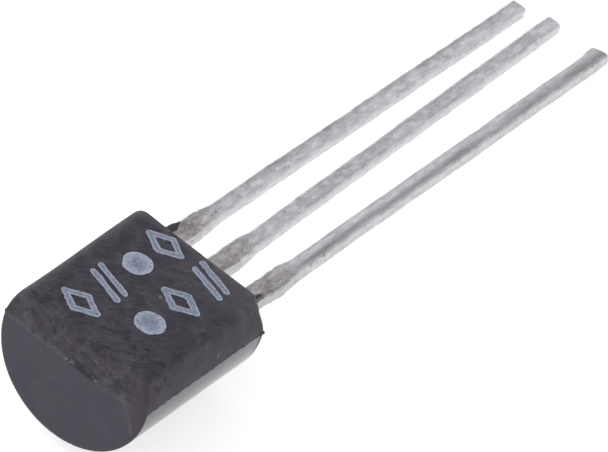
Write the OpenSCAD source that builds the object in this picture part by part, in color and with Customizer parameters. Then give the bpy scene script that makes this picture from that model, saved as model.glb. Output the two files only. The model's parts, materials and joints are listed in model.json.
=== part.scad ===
// Small-signal transistor in a through-hole plastic package with a round back and a flat front.
// It lies as it comes to rest on a table: flat face up, on the rim of its round back and on its lead tips.
// Shapes are drawn in the package's own axes and laid down at the end: X runs along the leads towards
// their tips, Y across them, Z out of the flat; the zero point is the round back's axis at the lead end.

/* [Body] */
// Diameter of the round back
body_d = 4.45; // [4.3:0.05:5.2]
// Length of the body, from its top end to the end that the leads leave
body_l = 4.7; // [4.45:0.05:5.3]
// Distance from the round back's axis to the flat face
flat_h = 1.18; // [1.1:0.02:1.5]
// Rounding of the long edges between the flat and the sides
side_edge_r = 0.35; // [0.2:0.05:0.5]
// Rounding of the flat's edges at both ends
end_edge_r = 0.1; // [0.05:0.01:0.25]
// Rounding of the rims of the round back
rim_r = 0.12; // [0.05:0.01:0.2]
// Draft angle of the flat half's two ends, in degrees
end_draft = 3; // [1:1:8]
// Height of the mould's parting plane above the round back's axis
parting_h = 0.22; // [0.1:0.02:0.3]
// How far the flash stands out along the parting plane
flash_w = 0.03; // [0.02:0.005:0.05]
// Thickness of that flash
flash_t = 0.03; // [0.02:0.005:0.05]
// Width of the broken-off gate on the top end
gate_w = 0.9; // [0.5:0.1:1.5]
// Height of the gate, below the parting plane
gate_h = 0.14; // [0.1:0.02:0.3]
// Depth to which the gate broke away
gate_depth = 0.04; // [0.02:0.01:0.1]

/* [Leads] */
// Distance between neighbouring leads
lead_pitch = 1.27; // [1.2:0.01:1.4]
// Width of a lead's slender part
lead_w = 0.44; // [0.38:0.01:0.55]
// Thickness of the lead frame
lead_t = 0.38; // [0.3:0.01:0.45]
// Rounding of the long edges of the leads outside the body
lead_edge_r = 0.08; // [0.02:0.01:0.12]
// Width of the shoulder next to the body, left by the cut-off dam bar
shoulder_w = 0.64; // [0.6:0.01:0.75]
// Length of the shoulder outside the body
shoulder_l = 2.2; // [0.8:0.1:2.8]
// Length of the taper from the shoulder to the slender part
taper_l = 0.4; // [0.1:0.05:0.6]
// Length of the emitter lead, from the body to its tip
emitter_lead_l = 16.4; // [12.7:0.1:18]
// Length of the base lead
base_lead_l = 16.3; // [12.7:0.1:18]
// Length of the collector lead
collector_lead_l = 16; // [12.7:0.1:18]
// How far the base lead leans towards the collector lead, in degrees
base_lean = 1.3; // [0:0.1:1.5]
// How far the emitter lead's slender part is turned about its own length, in degrees
emitter_turn = 12; // [0:1:20]

/* [Lead frame inside the body] */
// Distance from the lead end of the body to the middle of the locking notches
notch_x = 0.5; // [0.4:0.05:0.6]
// Radius of the locking notches in the leads' edges
notch_r = 0.12; // [0.05:0.01:0.2]
// Distance from the lead end of the body to the near edge of the base lead's head
base_head_x = 0.75; // [0.7:0.05:0.85]
// Length of the base lead's head, along the lead
base_head_l = 0.45; // [0.3:0.05:0.5]
// Width of the base lead's head, across the lead
base_head_w = 0.95; // [0.7:0.05:1.1]
// Distance from the lead end of the body to the near edge of the emitter lead's post
post_x = 1.75; // [1.5:0.05:2]
// Length of the emitter lead's post, along the lead
post_l = 0.8; // [0.5:0.05:1]
// How far the post stands out past the lead, away from the middle
post_step = 0.12; // [0.05:0.01:0.15]
// Distance from the lead end of the body to the near edge of the paddle
paddle_x = 1.55; // [1.45:0.05:1.7]
// Length of the paddle that carries the chip, along the leads
paddle_l = 2.0; // [1.7:0.05:2.2]
// Width of the paddle, across the leads
paddle_w = 2.15; // [2:0.05:2.3]
// Radius of the paddle's locking hole
paddle_hole_r = 0.18; // [0.1:0.01:0.22]
// Distance of the locking hole from the paddle's far and outer edges
paddle_hole_inset = 0.4; // [0.35:0.05:0.5]

/* [Chip and bond wires] */
// Length of the chip's sides
die_w = 0.64; // [0.4:0.02:0.8]
// Thickness of the chip
die_t = 0.24; // [0.15:0.01:0.3]
// Thickness of the solder under the chip
attach_t = 0.03; // [0.02:0.01:0.05]
// How far the solder shows round the chip
attach_margin = 0.06; // [0.02:0.01:0.1]
// Distance from the paddle's near edge to the middle of the chip
die_x = 0.85; // [0.75:0.05:0.9]
// Distance from the paddle's inner edge to the middle of the chip
die_y = 0.85; // [0.75:0.05:1]
// Distance of each bond from the middle of the chip, along the leads and across them
bond_offset = 0.14; // [0.08:0.01:0.18]
// Diameter of the bond wires
bond_wire_d = 0.04; // [0.03:0.005:0.05]
// Diameter of the pressed ends of the bond wires
bond_ball_d = 0.11; // [0.08:0.01:0.13]
// Thickness of the pressed ends
bond_ball_h = 0.03; // [0.02:0.005:0.04]
// How far a bond wire rises above the straight line between its ends
bond_loop_h = 0.32; // [0.2:0.02:0.4]

/* [Marking] */
// Thickness of the ink
ink_t = 0.02; // [0.015:0.005:0.03]
// Width of an ink stroke
stroke_w = 0.19; // [0.12:0.01:0.22]
// Height of a mark, across the leads
mark_h = 1.2; // [0.8:0.05:1.3]
// Width of a mark, along the leads
mark_w = 0.8; // [0.5:0.05:0.9]
// Distance between the middles of the two rows
row_step = 1.5; // [1.4:0.05:1.55]
// Distance from the lead end of the body to the first mark's middle in the row of four
long_row_x = 0.6; // [0.55:0.05:0.65]
// Distance between neighbouring marks in the row of four
long_row_step = 1.1; // [0.95:0.05:1.1]
// Distance from the lead end of the body to the first mark's middle in the row of three
short_row_x = 0.65; // [0.55:0.05:0.8]
// Distance between neighbouring marks in the row of three
short_row_step = 1.2; // [0.95:0.05:1.3]

/* [Hidden] */
$fn = 64;

BLACK = [0.13, 0.12, 0.12];
TIN = [0.72, 0.72, 0.71];
SOLDER = [0.55, 0.56, 0.58];
SILICON = [0.32, 0.34, 0.40];
GOLD = [0.85, 0.68, 0.30];
INK = [0.62, 0.70, 0.84];

back_r = body_d / 2;
lead_bottom_h = parting_h - lead_t;
// Blanks reach this far past what they are cut to.
spare = 1;

// --- Resting place -------------------------------------------------------------------------------
// How far the round back's axis is above the lowest edge of a slender lead that is turned.
function lead_drop(turn) =
    (lead_w / 2 - lead_edge_r) * sin(turn) + (lead_t / 2 - lead_edge_r) * cos(turn) + lead_edge_r
    - (parting_h - lead_t / 2);

// The tilt at which the rounded rim of the back and a lead's tip touch the table together.
function touching_tilt(length, turn = 0) =
    let (run = length + rim_r, rise = back_r - rim_r - lead_drop(turn))
    atan2(rise, run) + asin(rim_r / norm([run, rise]));

rest_tilt = min(touching_tilt(emitter_lead_l, emitter_turn), touching_tilt(base_lead_l),
                touching_tilt(collector_lead_l));
rest_lift = rim_r + (back_r - rim_r) * cos(rest_tilt) - rim_r * sin(rest_tilt);
// The zero point of the part is below the middle of its length and width.
longest_lead = max(emitter_lead_l, base_lead_l, collector_lead_l);
rest_front = longest_lead * cos(rest_tilt) + parting_h * sin(rest_tilt);
rest_back = -(body_l - rim_r) * cos(rest_tilt) - (back_r - rim_r) * sin(rest_tilt) - rim_r;
rest_shift = -(rest_front + rest_back) / 2;

module at_rest() {
    translate([rest_shift, 0, rest_lift]) rotate([0, rest_tilt, 0]) children();
}

// --- Moulded body --------------------------------------------------------------------------------
// Cylinder along X with rounded rims.
module round_back() {
    rotate([0, -90, 0]) rotate_extrude($fn = 128) {
        square([back_r - rim_r, body_l]);
        translate([0, rim_r]) square([back_r, body_l - 2 * rim_r]);
        for (h = [rim_r, body_l - rim_r]) translate([back_r - rim_r, h]) circle(rim_r);
    }
}

// Section across the leads: everything under the flat, with its two long edges rounded.
module flat_section() {
    // The rounding meets the round side at a slight angle.
    crossing = 0.03;
    centre_h = flat_h - side_edge_r;
    centre_y = sqrt(pow(back_r - side_edge_r, 2) - pow(centre_h, 2)) + crossing;
    translate([-centre_y, -back_r - spare]) square([2 * centre_y, flat_h + back_r + spare]);
    translate([-back_r - spare, -back_r - spare]) square([2 * (back_r + spare), centre_h + back_r + spare]);
    for (side = [-1, 1]) translate([side * centre_y, centre_h]) circle(side_edge_r);
}

// Section along the leads: ends with draft that pass through the parting line, and rounded top edges.
module drafted_section() {
    foot = (parting_h + back_r + spare) * tan(end_draft);
    centre_h = flat_h - end_edge_r;
    inset = end_edge_r / cos(end_draft) + (centre_h - parting_h) * tan(end_draft);
    touch = end_edge_r * [cos(end_draft), sin(end_draft)];
    translate([-body_l / 2, 0]) for (side = [0, 1]) mirror([side, 0]) {
        centre = [body_l / 2 - inset, centre_h];
        polygon([[0, -back_r - spare], [body_l / 2 + foot, -back_r - spare], centre + touch,
                 centre + [0, end_edge_r], [0, flat_h]]);
        translate(centre) circle(end_edge_r);
    }
}

// Thin flash that stands out all round at the mould's parting plane.
module parting_flash() {
    half_w = sqrt(pow(back_r, 2) - pow(parting_h, 2)) + flash_w;
    translate([-body_l - flash_w, -half_w, parting_h - flash_t])
        cube([body_l + 2 * flash_w, 2 * half_w, flash_t]);
}

module gate_break() {
    translate([-body_l - spare, -gate_w / 2, parting_h - flash_t - gate_h])
        cube([spare + gate_depth, gate_w, gate_h]);
}

module moulded_body() {
    color(BLACK) difference() {
        union() {
            intersection() {
                round_back();
                translate([spare, 0, 0]) rotate([90, 0, -90]) linear_extrude(body_l + 2 * spare) flat_section();
                translate([0, back_r + spare, 0]) rotate([90, 0, 0])
                    linear_extrude(2 * (back_r + spare)) drafted_section();
            }
            parting_flash();
        }
        gate_break();
        emitter_lead();
        base_lead();
        collector_lead();
        die_attach();
        transistor_die();
        emitter_bond_wire();
        base_bond_wire();
    }
}

// --- Leads ---------------------------------------------------------------------------------------
// The stamped edges stay square this far out of the body, where the tinning starts.
bare_l = 0.06;
emitter_y = -lead_pitch;
collector_y = lead_pitch;

module stamped() {
    translate([0, 0, lead_bottom_h]) linear_extrude(lead_t) children();
}

// Outline of the part of a lead that is inside the body, as far in as depth.
module inner_strip(depth) {
    difference() {
        translate([-depth, -shoulder_w / 2]) square([depth + bare_l, shoulder_w]);
        for (side = [-1, 1]) translate([-notch_x, side * shoulder_w / 2]) circle(notch_r);
    }
}

// Bar along X, round the axis, with rounded long edges.
module rounded_bar(width, length) {
    rotate([90, 0, 90]) linear_extrude(length) {
        square([width - 2 * lead_edge_r, lead_t], center = true);
        square([width, lead_t - 2 * lead_edge_r], center = true);
        for (y = [-1, 1], z = [-1, 1])
            translate([y * (width / 2 - lead_edge_r), z * (lead_t / 2 - lead_edge_r)]) circle(lead_edge_r, $fn = 24);
    }
}

// Everything of a lead that is outside the body, with its shoulder trimmed to a taper.
module outer_lead(length, lean = 0, turn = 0) {
    middle = [0, 0, lead_bottom_h + lead_t / 2];
    translate([bare_l, 0, 0]) intersection() {
        translate(middle) rounded_bar(shoulder_w, shoulder_l + taper_l);
        stamped() polygon([[0, -shoulder_w / 2], [shoulder_l - bare_l, -shoulder_w / 2],
                           [shoulder_l + taper_l - bare_l, -lead_w / 2], [shoulder_l + taper_l - bare_l, lead_w / 2],
                           [shoulder_l - bare_l, shoulder_w / 2], [0, shoulder_w / 2]]);
    }
    translate(middle + [shoulder_l, 0, 0]) rotate([-turn, 0, lean]) rounded_bar(lead_w, length - shoulder_l);
}

module emitter_lead() {
    color(TIN) translate([0, emitter_y, 0]) {
        outer_lead(emitter_lead_l, turn = emitter_turn);
        stamped() {
            inner_strip(post_x + post_l);
            translate([-post_x - post_l, -shoulder_w / 2 - post_step]) square([post_l, shoulder_w + post_step]);
        }
    }
}

module base_lead() {
    color(TIN) {
        outer_lead(base_lead_l, lean = base_lean);
        stamped() {
            inner_strip(base_head_x + base_head_l);
            translate([-base_head_x - base_head_l, -base_head_w / 2]) square([base_head_l, base_head_w]);
        }
    }
}

paddle_outer_y = collector_y + shoulder_w / 2;
paddle_inner_y = paddle_outer_y - paddle_w;

module collector_lead() {
    color(TIN) {
        translate([0, collector_y, 0]) outer_lead(collector_lead_l);
        stamped() {
            translate([0, collector_y]) inner_strip(paddle_x);
            difference() {
                translate([-paddle_x - paddle_l, paddle_inner_y]) square([paddle_l, paddle_w]);
                translate([paddle_hole_inset - paddle_x - paddle_l, paddle_outer_y - paddle_hole_inset])
                    circle(paddle_hole_r);
            }
        }
    }
}

// --- Chip, solder and bond wires -----------------------------------------------------------------
die_place = [-paddle_x - die_x, paddle_inner_y + die_y, parting_h + attach_t];
die_top_h = die_place.z + die_t;

module die_attach() {
    width = die_w + 2 * attach_margin;
    color(SOLDER) translate([die_place.x - width / 2, die_place.y - width / 2, parting_h])
        cube([width, width, attach_t]);
}

module transistor_die() {
    color(SILICON) translate([die_place.x - die_w / 2, die_place.y - die_w / 2, die_place.z])
        cube([die_w, die_w, die_t]);
}

// A bond wire is an arch between two pressed ends, in a vertical plane. Each ring is
// [place, radius, direction of the wire there].
WIRE_SIDES = 6;
WIRE_STEPS = 12;

function wire_rings(from, to) =
    let (run = [to.x - from.x, to.y - from.y, 0], up = [0, 0, 1], ball_r = bond_ball_d / 2, wire_r = bond_wire_d / 2,
         foot = from + bond_ball_h * up, head = to + bond_ball_h * up)
    concat(
        [[from, ball_r, up], [foot, ball_r, up]],
        [for (i = [0 : WIRE_STEPS])
            let (a = 180 * i / WIRE_STEPS, along = (1 - cos(a)) / 2)
            [foot + wire_r * up + along * (head - foot) + bond_loop_h * sin(a) * up, wire_r,
             sin(a) / 2 * (head - foot) + bond_loop_h * cos(a) * up]],
        [[head, ball_r, -up], [to, ball_r, -up]]);

module bond_wire(from, to) {
    rings = wire_rings(from, to);
    across = cross([0, 0, 1], to - from) / norm(cross([0, 0, 1], to - from));
    points = [for (ring = rings, k = [0 : WIRE_SIDES - 1])
        let (along = ring[2] / norm(ring[2]), other = cross(along, across), a = 360 * k / WIRE_SIDES)
        ring[0] + ring[1] * (cos(a) * across + sin(a) * other)];
    last = len(rings) - 1;
    sides = [for (i = [0 : last - 1], k = [0 : WIRE_SIDES - 1])
        let (a = i * WIRE_SIDES + k, b = i * WIRE_SIDES + (k + 1) % WIRE_SIDES)
        each [[a, a + WIRE_SIDES, b], [b, a + WIRE_SIDES, b + WIRE_SIDES]]];
    caps = [[for (k = [0 : WIRE_SIDES - 1]) k], [for (k = [WIRE_SIDES - 1 : -1 : 0]) last * WIRE_SIDES + k]];
    polyhedron(points, concat(sides, caps));
}

module emitter_bond_wire() {
    color(GOLD) bond_wire([die_place.x + bond_offset, die_place.y - bond_offset, die_top_h],
                          [-post_x - post_l / 2, emitter_y, parting_h]);
}

module base_bond_wire() {
    color(GOLD) bond_wire([die_place.x + bond_offset, die_place.y + bond_offset, die_top_h],
                          [-base_head_x - base_head_l / 2, 0, parting_h]);
}

// --- Marking -------------------------------------------------------------------------------------
// Plain shapes in two rows along the leads. Each mark is drawn round its own middle, out of strokes with
// round ends. half is the reach of the strokes' middle lines.
half = [mark_w - stroke_w, mark_h - stroke_w] / 2;

module stroke(from, to) {
    run = to - from;
    translate(from) rotate(atan2(run.y, run.x)) translate([0, -stroke_w / 2]) square([norm(run), stroke_w]);
    for (end = [from, to]) translate(end) circle(d = stroke_w, $fn = 24);
}

module lozenge_mark() {
    corners = [[half.x, 0], [0, half.y], [-half.x, 0], [0, -half.y]];
    for (i = [0 : 3]) stroke(corners[i], corners[(i + 1) % 4]);
}

// Two slanting bars.
module hatch_mark() {
    for (side = [-1, 1])
        stroke([side * half.x / 2 - half.x / 2, -half.y], [side * half.x / 2 + half.x / 2, half.y]);
}

module dot_mark() {
    circle(mark_w / 2);
}

module marking_ink() {
    color(INK) translate([0, 0, flat_h]) linear_extrude(ink_t) {
        translate([-short_row_x, -row_step / 2]) {
            hatch_mark();
            translate([-short_row_step, 0]) lozenge_mark();
            translate([-2 * short_row_step, 0]) dot_mark();
        }
        translate([-long_row_x, row_step / 2]) {
            lozenge_mark();
            translate([-long_row_step, 0]) dot_mark();
            translate([-2 * long_row_step, 0]) hatch_mark();
            translate([-3 * long_row_step, 0]) lozenge_mark();
        }
    }
}

at_rest() moulded_body();
at_rest() emitter_lead();
at_rest() base_lead();
at_rest() collector_lead();
at_rest() die_attach();
at_rest() transistor_die();
at_rest() emitter_bond_wire();
at_rest() base_bond_wire();
at_rest() marking_ink();
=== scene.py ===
"""Looks of a small-signal transistor in a plastic package with a round back and a flat front.

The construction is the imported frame, which carries every piece at its place. This script gives the
pieces their finished surfaces: the moulding with its parting line, gate scar and grime, the hot-dipped
leads, the worn ink and the chip inside. Sizes are millimetres in the package's own axes: X runs along
the leads towards their tips, Y across them towards the collector lead and Z out of the flat, from the
round back's axis at the lead end.
"""

import json
import logging
import math
from dataclasses import dataclass, field
from enum import Enum, IntEnum
from typing import Callable, Mapping, Optional, Sequence, Union

import bmesh
import bpy
import numpy as np
from mathutils import Matrix, Vector, noise
from mathutils.geometry import tessellate_polygon


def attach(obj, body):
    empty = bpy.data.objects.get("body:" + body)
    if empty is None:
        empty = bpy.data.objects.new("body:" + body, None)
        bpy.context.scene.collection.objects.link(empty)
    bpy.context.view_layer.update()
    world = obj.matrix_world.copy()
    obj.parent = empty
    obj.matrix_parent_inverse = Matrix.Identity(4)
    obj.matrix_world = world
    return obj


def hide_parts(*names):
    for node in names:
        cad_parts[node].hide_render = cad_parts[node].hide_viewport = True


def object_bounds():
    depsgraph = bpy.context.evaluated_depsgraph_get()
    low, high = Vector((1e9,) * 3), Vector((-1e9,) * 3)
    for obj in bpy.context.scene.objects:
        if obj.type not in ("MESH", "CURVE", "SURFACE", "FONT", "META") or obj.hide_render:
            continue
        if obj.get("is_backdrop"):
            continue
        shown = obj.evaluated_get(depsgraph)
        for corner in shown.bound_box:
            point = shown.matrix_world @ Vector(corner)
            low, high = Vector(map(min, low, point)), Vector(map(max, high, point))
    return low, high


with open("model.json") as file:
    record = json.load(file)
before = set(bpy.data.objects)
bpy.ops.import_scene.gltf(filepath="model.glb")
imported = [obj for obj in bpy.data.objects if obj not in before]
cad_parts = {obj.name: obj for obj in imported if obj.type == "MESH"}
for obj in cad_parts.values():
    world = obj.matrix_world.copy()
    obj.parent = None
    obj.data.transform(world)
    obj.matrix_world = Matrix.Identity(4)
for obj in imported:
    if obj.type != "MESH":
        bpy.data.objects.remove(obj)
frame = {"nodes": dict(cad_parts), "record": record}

LOG = logging.getLogger("transistor")
MM_PER_M = 1000.0
BODY = "root"

Colour = tuple[float, float, float]


# --- Sizes and placement ---------------------------------------------------------------------------
@dataclass(frozen=True)
class PackageSizes:
    """The package's sizes, in millimetres and degrees, as its drawing has them."""

    body_d: float = 4.45
    body_l: float = 4.7
    flat_h: float = 1.18
    side_edge_r: float = 0.35
    end_draft: float = 3.0
    parting_h: float = 0.22
    flash_w: float = 0.03
    flash_t: float = 0.03
    gate_w: float = 0.9
    gate_h: float = 0.14
    gate_depth: float = 0.04
    lead_pitch: float = 1.27
    lead_w: float = 0.44
    lead_t: float = 0.38
    lead_edge_r: float = 0.08
    shoulder_w: float = 0.64
    shoulder_l: float = 2.2
    taper_l: float = 0.4
    emitter_l: float = 16.4
    base_l: float = 16.3
    collector_l: float = 16.0
    paddle_w: float = 2.15
    ink_t: float = 0.02

    @property
    def back_r(self) -> float:
        """Radius of the round back."""
        return self.body_d / 2

    @property
    def lead_middle_h(self) -> float:
        """Height of the leads' middle plane above the round back's axis."""
        return self.parting_h - self.lead_t / 2

    @property
    def top_x(self) -> float:
        """Where the top end of the body is along X."""
        return -self.body_l


@dataclass(frozen=True)
class Placement:
    """Where the package's own axes lie in the frame.

    Args:
        origin: The package's zero point in the frame, in metres.
        axes: Its X, Y and Z directions in the frame, one a row.
    """

    origin: np.ndarray
    axes: np.ndarray

    @classmethod
    def from_record(cls, record: Mapping, sizes: PackageSizes) -> "Placement":
        """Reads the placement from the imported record's mounts.

        Args:
            record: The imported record.
            sizes: The package's sizes.

        Returns:
            The placement of the package as it lies at rest.
        """
        mounts = {mount["name"]: mount for mount in record["mounts"]}
        along = np.array(mounts["leads"]["axis"], float)
        out = np.array(mounts["flat_front"]["axis"], float)
        along /= np.linalg.norm(along)
        out /= np.linalg.norm(out)
        axes = np.array([along, np.cross(out, along), out])
        leads_at = np.array(mounts["leads"]["pos_m"], float)
        return cls(leads_at - out * sizes.lead_middle_h / MM_PER_M, axes)

    @property
    def tilt(self) -> float:
        """Angle, in radians, by which the leads slope down towards their tips."""
        return math.atan2(-self.axes[0][2], self.axes[0][0])

    def to_frame(self, points: np.ndarray) -> np.ndarray:
        """Turns package millimetres into metres in the frame, lifting what would go under the table.

        Args:
            points: Points in the package's axes, one a row.

        Returns:
            The same points in the frame.
        """
        placed = self.origin + points @ self.axes / MM_PER_M
        placed[:, 2] = np.maximum(placed[:, 2], 0.0)
        return placed

    def to_package(self) -> dict[str, Sequence[float]]:
        """Socket values of a Mapping node that turns frame metres into package millimetres."""
        offset = -MM_PER_M * (self.axes @ self.origin)
        return {"Location": tuple(offset), "Rotation": (0.0, -self.tilt, 0.0), "Scale": (MM_PER_M,) * 3}


def smoothstep(low: float, high: float, value: float) -> float:
    """Smooth ramp from 0 at low to 1 at high."""
    t = min(max((value - low) / (high - low), 0.0), 1.0)
    return t * t * (3 - 2 * t)


def ripple(seed: float, *place: float) -> float:
    """Smooth noise from -1 to 1 at a place of one to three numbers.

    Args:
        seed: Sets one run of noise apart from another.
        place: The place, in units of the noise's own scale.

    Returns:
        The noise there, always the same for the same place and seed.
    """
    x, y, z = (*place, 0.0, 0.0)[:3]
    return noise.noise(Vector((x + 17.3 * seed, y - 5.9 * seed, z + 3.7 * seed)))


# --- Meshes ----------------------------------------------------------------------------------------
def new_object(name: str, data: bpy.types.ID) -> bpy.types.Object:
    """Makes an object and puts it into the scene.

    Args:
        name: Its name.
        data: Its mesh, lamp or camera.

    Returns:
        The object.
    """
    made = bpy.data.objects.new(name, data)
    bpy.context.scene.collection.objects.link(made)
    return made


class Shape:
    """A mesh under construction, in package millimetres, with named values at its points."""

    def __init__(self, *names: str) -> None:
        """Starts an empty mesh.

        Args:
            names: Names of the values that each point carries.
        """
        self.names = names
        self.points: list[np.ndarray] = []
        self.values: list[np.ndarray] = []
        self.count = 0
        self.faces: list[tuple[int, ...]] = []
        self.finishes: list[int] = []

    def add(self, points: np.ndarray, values: Optional[np.ndarray] = None) -> np.ndarray:
        """Adds points.

        Args:
            points: An array whose last axis is X, Y, Z.
            values: Each point's values, in the order of the names; 0 where there are none.

        Returns:
            Their numbers, in the array's own layout.
        """
        flat = np.asarray(points, float).reshape(-1, 3)
        carried = np.zeros((len(flat), len(self.names)))
        if values is not None:
            carried[:] = np.asarray(values, float).reshape(len(flat), len(self.names))
        numbers = np.arange(self.count, self.count + len(flat))
        self.points.append(flat)
        self.values.append(carried)
        self.count += len(flat)
        return numbers.reshape(np.shape(points)[:-1])

    def face(self, corners: Sequence[int], finish: int = 0) -> None:
        """Adds one face, without corners that come twice.

        Args:
            corners: Point numbers, in turn round the face.
            finish: The number of its finish.
        """
        once = tuple(dict.fromkeys(int(c) for c in corners))
        if len(once) > 2:
            self.faces.append(once)
            self.finishes.append(finish)

    def skin(self, rings: np.ndarray, finish: Optional[Callable[[int], int]] = None) -> None:
        """Adds the four-sided faces between closed rings of points.

        Args:
            rings: Point numbers, one ring a row.
            finish: Gives the finish's number from the place round a ring; all 0 where there is none.
        """
        size = rings.shape[1]
        for low, high in zip(rings[:-1], rings[1:]):
            for k in range(size):
                after = (k + 1) % size
                self.face((low[k], low[after], high[after], high[k]), finish(k) if finish else 0)

    def tube(self, rings: np.ndarray, values: Optional[np.ndarray] = None) -> None:
        """Adds a tube through rings of points, closed with a fan at each end.

        Args:
            rings: Points (ring, place round it, XYZ).
            values: Each point's values, in the order of the names; 0 where there are none.
        """
        numbers = self.add(rings, values)
        self.skin(numbers)
        for end in (0, -1):
            middle = self.add(rings[end].mean(axis=0)[None])[0]
            for here, after in zip(numbers[end], np.roll(numbers[end], -1)):
                self.face((here, after, middle))

    def build(
        self, name: str, placement: Placement, materials: Sequence[bpy.types.Material], crease: float = 40.0
    ) -> bpy.types.Object:
        """Makes the Blender object, at its place in the frame.

        Args:
            name: The piece's name.
            placement: Where the package lies.
            materials: Its finishes, in the order of their numbers.
            crease: Angle, in degrees, above which an edge stays sharp.

        Returns:
            The new object, with outward normals.
        """
        mesh = bpy.data.meshes.new(name)
        mesh.from_pydata(placement.to_frame(np.concatenate(self.points)), [], self.faces)
        mesh.polygons.foreach_set("material_index", self.finishes)
        work = bmesh.new()
        work.from_mesh(mesh)
        bmesh.ops.recalc_face_normals(work, faces=work.faces)
        work.to_mesh(mesh)
        work.free()
        mesh.polygons.foreach_set("use_smooth", [True] * len(mesh.polygons))
        mesh.set_sharp_from_angle(angle=math.radians(crease))
        carried = np.concatenate(self.values)
        for column, key in enumerate(self.names):
            attribute = mesh.attributes.new(key, "FLOAT", "POINT")
            attribute.data.foreach_set("value", carried[:, column].copy())
        for material in materials:
            mesh.materials.append(material)
        return new_object(name, mesh)


def settle(piece: bpy.types.Object, node: str) -> None:
    """Rides a piece on the package and lets it stand for its node.

    Args:
        piece: The new piece.
        node: The node that it stands for.
    """
    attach(piece, BODY)
    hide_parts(node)
    triangles = sum(len(polygon.vertices) - 2 for polygon in piece.data.polygons)
    LOG.info("piece %s: %d triangles, stands for %s", piece.name, triangles, node)


# --- Shader writing --------------------------------------------------------------------------------
Value = Union["Signal", float, Sequence[float]]


class Signal:
    """A shader socket that can be used in arithmetic, as a number or as a vector of three."""

    def __init__(self, graph: "Graph", socket: bpy.types.NodeSocket) -> None:
        """Wraps a socket.

        Args:
            graph: The graph that the socket is in.
            socket: An output socket.
        """
        self.graph = graph
        self.socket = socket

    def __add__(self, other: Value) -> "Signal":
        """This plus other."""
        return self.graph.math("ADD", self, other)

    def __sub__(self, other: Value) -> "Signal":
        """This minus other."""
        return self.graph.math("SUBTRACT", self, other)

    def __rsub__(self, other: Value) -> "Signal":
        """Other minus this."""
        return self.graph.math("SUBTRACT", other, self)

    def __mul__(self, other: Value) -> "Signal":
        """This times other."""
        return self.graph.math("MULTIPLY", self, other)

    def __pow__(self, other: Value) -> "Signal":
        """This to the power of other."""
        return self.graph.math("POWER", self, other)

    __radd__ = __add__
    __rmul__ = __mul__

    def __abs__(self) -> "Signal":
        """This without its sign."""
        return self.graph.math("ABSOLUTE", self)

    def rise(self, low: float, high: float) -> "Signal":
        """Smooth ramp from 0 where this is low to 1 where it is high.

        Args:
            low: Where the ramp starts.
            high: Where it ends.

        Returns:
            The ramp, from 0 to 1.
        """
        settings = {"interpolation_type": "SMOOTHSTEP"}
        values = {"Value": self, "From Min": low, "From Max": high, "To Min": 0.0, "To Max": 1.0}
        return self.graph.node("ShaderNodeMapRange", settings, values)

    def fall(self, low: float, high: float) -> "Signal":
        """Smooth ramp from 1 where this is low to 0 where it is high."""
        return 1.0 - self.rise(low, high)

    def near(self, middle: float, inner: float, outer: float) -> "Signal":
        """1 where this is within inner of a middle value, 0 where it is outer away or more."""
        return abs(self - middle).fall(inner, outer)

    def swing(self, size: float) -> "Signal":
        """Noise from 0 to 1 turned into a change of up to half of size, up or down."""
        return (self - 0.5) * size


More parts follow.
